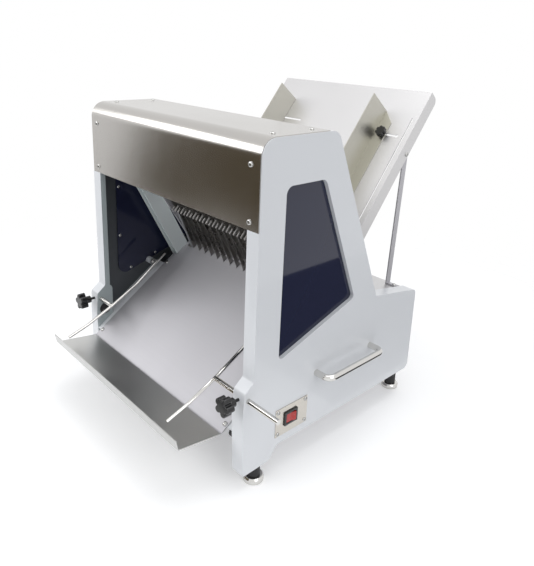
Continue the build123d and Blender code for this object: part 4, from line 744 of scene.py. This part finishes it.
# a pan head and its shank as (radius, z), and the cross recess's bars, both in head sizes
PAN_PROFILE = [
    (0, -1.6), (0.24, -1.6), (0.24, 0), (0.5, 0), (0.5, 0.38),
    (0.47, 0.62), (0.38, 0.84), (0.22, 0.97), (0, 1.0),
]
RECESS_BAR = (0.56, 0.1, 1.1, 1)


def pan_head():
    """A pan head one unit wide and high, with a cross recess and a short shank."""
    work = bmesh.new()
    lathe(work, PAN_PROFILE)
    head = bpy.data.objects.new("HeadShape", mesh_from(work, "HeadShape"))
    work = bmesh.new()
    for turn in (0, math.pi / 2):
        bar = Matrix.Translation((0, 0, 1.0)) @ Matrix.Diagonal(RECESS_BAR)
        bmesh.ops.create_cube(work, size=1.0, matrix=Matrix.Rotation(turn, 4, "Z") @ bar)
    recess = bpy.data.objects.new("RecessShape", mesh_from(work, "RecessShape"))
    for obj in (head, recess):
        bpy.context.scene.collection.objects.link(obj)
    cut = head.modifiers.new("Cross Recess", "BOOLEAN")
    cut.operation = "DIFFERENCE"
    cut.solver = "EXACT"
    cut.use_self = True
    cut.object = recess
    bpy.context.view_layer.update()
    mesh = bpy.data.meshes.new_from_object(head.evaluated_get(bpy.context.evaluated_depsgraph_get()))
    bpy.data.objects.remove(head)
    bpy.data.objects.remove(recess)
    return mesh


def both(points, up):
    """Seats on +X and -X, each a point in metres and its outward direction."""
    return [
        (Vector((sign * p.x, p.y, p.z)), Vector((sign * up.x, up.y, up.z)))
        for p in points for sign in (1, -1)
    ]


# screw seats in millimetres on the +X side, as (y, z) unless said
HOOD_FRONT_SEATS = [(255, 603), (255, 507)]  # (x, z)
HOOD_TOP_SEATS = [(252, 48), (252, 140)]  # (x, y)
HOOD_TOP_Z = 648
TRAY_SEAT_X = 230
TRAY_SEAT_Y = (-22, 160)
COVER_SEAT = (241, 36)  # (x, distance down the cover)
STRUT_FOOT_SEAT = (240, 123 / math.cos(COVER_ANGLE), 3)  # as the last, and the foot's thickness
STRUT_TOP_SEAT = (226, 479, 564)  # (x, y, z)
PLATE_FACE_X = 281.5
PLATE_SEATS = [(63, 85), (63, 131), (135, 85), (135, 131)]
RAIL_SEAT_X = 237.7
RAIL_SEAT_N = -10
RAIL_SEAT_T = (60, 115, 170)  # along the slide line
PANE_FACE_X = 268
PANE_SEATS = [
    (53, 330), (53, 450), (80, 568), (140, 568), (183, 510),
    (226, 408), (236, 293), (150, 265), (80, 242),
]
SMALL_HEAD = (0.008, 0.002)
RAIL_HEAD = (0.008, 0.0028)
PANE_HEAD = (0.007, 0.002)


class SLICER_OT_screws(bpy.types.Operator):
    """Sets cross-recessed pan screws on their seats"""

    bl_idname = "slicer.screws"
    bl_label = "Screws"

    def execute(self, context):
        sizes = context.scene.slicer_sizes
        tree = seat_tree()
        big = (sizes.screw_head, sizes.screw_rise)
        front, top, side = Vector((0, -1, 0)), Vector((0, 0, 1)), Vector((1, 0, 0))
        hood_front = [place(x, 0, z) for x, z in HOOD_FRONT_SEATS]
        hood_top = [place(x, y, HOOD_TOP_Z) for x, y in HOOD_TOP_SEATS]
        tray_d = [(y - TRAY_FOLD[0]) / math.cos(TRAY_ANGLE) for y in TRAY_SEAT_Y]
        cover = [cover_point(*COVER_SEAT), cover_point(*STRUT_FOOT_SEAT)]
        rail = [place(RAIL_SEAT_X, *slide_point(RAIL_SEAT_N, t)) for t in RAIL_SEAT_T]
        pane = [place(PANE_FACE_X, y, z) for y, z in PANE_SEATS]
        groups = {
            "hood_screws": (big, both(hood_front, front) + both(hood_top, top)),
            "tray_screws": (big, both([tray_point(TRAY_SEAT_X, d) for d in tray_d], TRAY_UP)),
            "cover_screws": (big, both(cover, COVER_UP) + both([place(*STRUT_TOP_SEAT)], side)),
            "switch_screws": (SMALL_HEAD, [(place(PLATE_FACE_X, y, z), side) for y, z in PLATE_SEATS]),
            "rail_screws": (RAIL_HEAD, both(rail, -SLIDE_OUT)),
            "window_screws": (PANE_HEAD, both(pane, -side)),
        }
        for node, ((width, rise), seats) in groups.items():
            base = bpy.data.meshes.new("Seats")
            base.from_pydata([tuple(p) for p, _ in seats], [], [])
            facing = base.attributes.new("facing", "FLOAT_VECTOR", "POINT")
            facing.data.foreach_set("vector", [v for _, up in seats for v in up])
            name = node.title().replace("_", "")
            mesh = grown(name, base, tree, {
                "Shape": hidden_source("PanHead", pan_head()), "Head Diameter": width,
                "Head Height": rise, "Seed": len(seats), "Finish": material("Screw Steel"),
            })
            piece(name, mesh, "chassis", (node,))
        return {"FINISHED"}


LAMP_TARGET = (0, 0, 0.35)
# name: (place, size, power)
LAMPS = {
    "FrontSoftbox": ((-1.4, -2.2, 1.7), (3.2, 1.1), 42),
    "SideSoftbox": ((2.4, -0.4, 1.5), (1.4, 1.8), 13),
    "TopSoftbox": ((0.2, 0.3, 2.4), (1.8, 1.8), 23),
}


def area_lamp(name, where, size, power):
    lamp = bpy.data.lights.new(name, "AREA")
    lamp.shape = "RECTANGLE"
    lamp.size, lamp.size_y = size
    lamp.energy = power
    obj = bpy.data.objects.new(name, lamp)
    obj.location = where
    aim = Vector(LAMP_TARGET) - Vector(where)
    obj.rotation_euler = aim.to_track_quat("-Z", "Y").to_euler()
    bpy.context.scene.collection.objects.link(obj)


# painted reflections: the brown card puts an olive-brown reflection into the hood, the grey card, flat on
# the floor to the right, a dark reflection into the shiny parts that face it
# name: (colour, corners)
REFLECTION_CARDS = {
    "BrownCard": (
        (0.085, 0.058, 0.022),
        [(-1.65, -1.05, 0.01), (0.3, -1.05, 0.01), (0.3, -1.2, 0.95), (-1.45, -1.2, 0.72)],
    ),
    "GreyCard": (
        (0.03, 0.03, 0.035),
        [(0.34, 0.05, 0.012), (0.92, 0.05, 0.012), (0.92, 0.95, 0.012), (0.34, 0.70, 0.012)],
    ),
}
FLOOR_HALF = 6
PAPER_FADE = (0.45, 1.5)  # distance from the middle where the paper fades out
PAPER_GLOW = 0.22
AIR_STRENGTH = 0.5


def studio_paper():
    """White paper that takes the object's shadow and fades into the background."""
    paper = bpy.data.materials.new("Studio Paper")
    paper.use_nodes = True
    nodes, links = paper.node_tree.nodes, paper.node_tree.links
    shader = nodes["Principled BSDF"]
    shader.inputs["Base Color"].default_value = (0.90, 0.90, 0.90, 1)
    shader.inputs["Roughness"].default_value = 0.9
    shader.inputs["Emission Color"].default_value = (1, 1, 1, 1)
    shader.inputs["Emission Strength"].default_value = PAPER_GLOW
    coords = nodes.new("ShaderNodeTexCoord")
    spread = nodes.new("ShaderNodeVectorMath")
    spread.operation = "LENGTH"
    links.new(coords.outputs["Object"], spread.inputs[0])
    fade = nodes.new("ShaderNodeMapRange")
    fade.interpolation_type = "SMOOTHSTEP"
    fade.inputs["From Min"].default_value, fade.inputs["From Max"].default_value = PAPER_FADE
    links.new(spread.outputs["Value"], fade.inputs["Value"])
    clear = nodes.new("ShaderNodeBsdfTransparent")
    mix = nodes.new("ShaderNodeMixShader")
    links.new(fade.outputs["Result"], mix.inputs["Fac"])
    links.new(shader.outputs["BSDF"], mix.inputs[1])
    links.new(clear.outputs["BSDF"], mix.inputs[2])
    links.new(mix.outputs["Shader"], nodes["Material Output"].inputs["Surface"])
    return paper


def studio_air():
    """Soft light all round, and white for the camera, reflections and glass."""
    world = bpy.data.worlds.new("Studio")
    world.use_nodes = True
    nodes, links = world.node_tree.nodes, world.node_tree.links
    air = nodes["Background"]
    air.inputs["Color"].default_value = (0.95, 0.97, 1.0, 1)
    air.inputs["Strength"].default_value = AIR_STRENGTH
    seen = nodes.new("ShaderNodeBackground")
    seen.inputs["Color"].default_value = (1, 1, 1, 1)
    seen.inputs["Strength"].default_value = 1.0
    rays = nodes.new("ShaderNodeLightPath")
    total = rays.outputs["Is Camera Ray"]
    for label in ("Is Glossy Ray", "Is Transmission Ray"):
        total = math_node(world.node_tree, "MAXIMUM", total, rays.outputs[label])
    mix = nodes.new("ShaderNodeMixShader")
    links.new(total, mix.inputs["Fac"])
    links.new(air.outputs["Background"], mix.inputs[1])
    links.new(seen.outputs["Background"], mix.inputs[2])
    links.new(mix.outputs["Shader"], nodes["World Output"].inputs["Surface"])
    return world


def reflection_card(name, colour, corners):
    """A dark card beside the machine that only reflections see, painting a dark reflection into its shiny
    surfaces.
    """
    card = bpy.data.materials.new(name)
    card.use_nodes = True
    shader = card.node_tree.nodes["Principled BSDF"]
    shader.inputs["Base Color"].default_value = (*colour, 1)
    shader.inputs["Roughness"].default_value = 0.8
    work = bmesh.new()
    work.faces.new([work.verts.new(corner) for corner in corners])
    obj = bpy.data.objects.new(name, mesh_from(work, name))
    obj.data.materials.append(card)
    obj.visible_camera = False
    obj.visible_diffuse = False
    obj.visible_shadow = False
    bpy.context.scene.collection.objects.link(obj)


CAMERA_PLACE = (0.92797, -0.84860, 0.79334)
CAMERA_RIGHT = Vector((0.68006, 0.73224, 0.03666))
CAMERA_UP = Vector((-0.23164, 0.16715, 0.95834))
CAMERA_FORWARD = Vector((-0.69560, 0.66022, -0.28328))
CAMERA_SHIFT = -0.1272


class SLICER_OT_stage(bpy.types.Operator):
    """Makes the floor, the soft lamps and the camera"""

    bl_idname = "slicer.stage"
    bl_label = "Stage"

    def execute(self, context):
        scene = context.scene
        scene.view_settings.view_transform = "Standard"
        work = bmesh.new()
        bmesh.ops.create_grid(work, x_segments=1, y_segments=1, size=FLOOR_HALF)
        floor = bpy.data.objects.new("Floor", mesh_from(work, "Floor"))
        scene.collection.objects.link(floor)
        floor.data.materials.append(studio_paper())
        scene.world = studio_air()
        # painted reflections from dark cards that only the shiny surfaces show
        for name, (colour, corners) in REFLECTION_CARDS.items():
            reflection_card(name, colour, corners)
        for name, lamp in LAMPS.items():
            area_lamp(name, *lamp)
        camera = bpy.data.cameras.new("Camera")
        camera.sensor_width = 36.0
        camera.lens = scene.slicer_sizes.lens
        camera.shift_y = CAMERA_SHIFT
        camera.clip_end = 20.0
        obj = bpy.data.objects.new("Camera", camera)
        axes = Matrix((CAMERA_RIGHT, CAMERA_UP, -CAMERA_FORWARD)).transposed().to_4x4()
        obj.matrix_world = Matrix.Translation(CAMERA_PLACE) @ axes
        scene.collection.objects.link(obj)
        scene.camera = obj
        return {"FINISHED"}


OPERATORS = (
    SLICER_OT_finishes,
    SLICER_OT_mechanism,
    SLICER_OT_panels,
    SLICER_OT_sheets,
    SLICER_OT_rods,
    SLICER_OT_knobs,
    SLICER_OT_blades,
    SLICER_OT_screws,
    SLICER_OT_stage,
)


class SLICER_PT_sidebar(bpy.types.Panel):
    """Lists the slicer's sizes, colours and steps"""

    bl_idname = "SLICER_PT_sidebar"
    bl_label = "Bread Slicer"
    bl_space_type = "VIEW_3D"
    bl_region_type = "UI"
    bl_category = "Slicer"

    def draw(self, context):
        for group in (context.scene.slicer_sizes, context.scene.slicer_colours):
            box = self.layout.box()
            for name in group.__annotations__:
                box.prop(group, name)
        for operator in OPERATORS:
            self.layout.operator(operator.bl_idname)


CLASSES = (SlicerColours, SlicerSizes, *OPERATORS, SLICER_PT_sidebar)


def register():
    for cls in CLASSES:
        bpy.utils.register_class(cls)
    bpy.types.Scene.slicer_colours = bpy.props.PointerProperty(type=SlicerColours)
    bpy.types.Scene.slicer_sizes = bpy.props.PointerProperty(type=SlicerSizes)


def unregister():
    del bpy.types.Scene.slicer_sizes
    del bpy.types.Scene.slicer_colours
    for cls in reversed(CLASSES):
        bpy.utils.unregister_class(cls)


def main():
    register()
    bpy.ops.slicer.finishes()
    bpy.ops.slicer.mechanism()
    bpy.ops.slicer.panels()
    bpy.ops.slicer.sheets()
    bpy.ops.slicer.rods()
    bpy.ops.slicer.knobs()
    bpy.ops.slicer.blades()
    bpy.ops.slicer.screws()
    bpy.ops.slicer.stage()


if __name__ == "__main__":
    main()
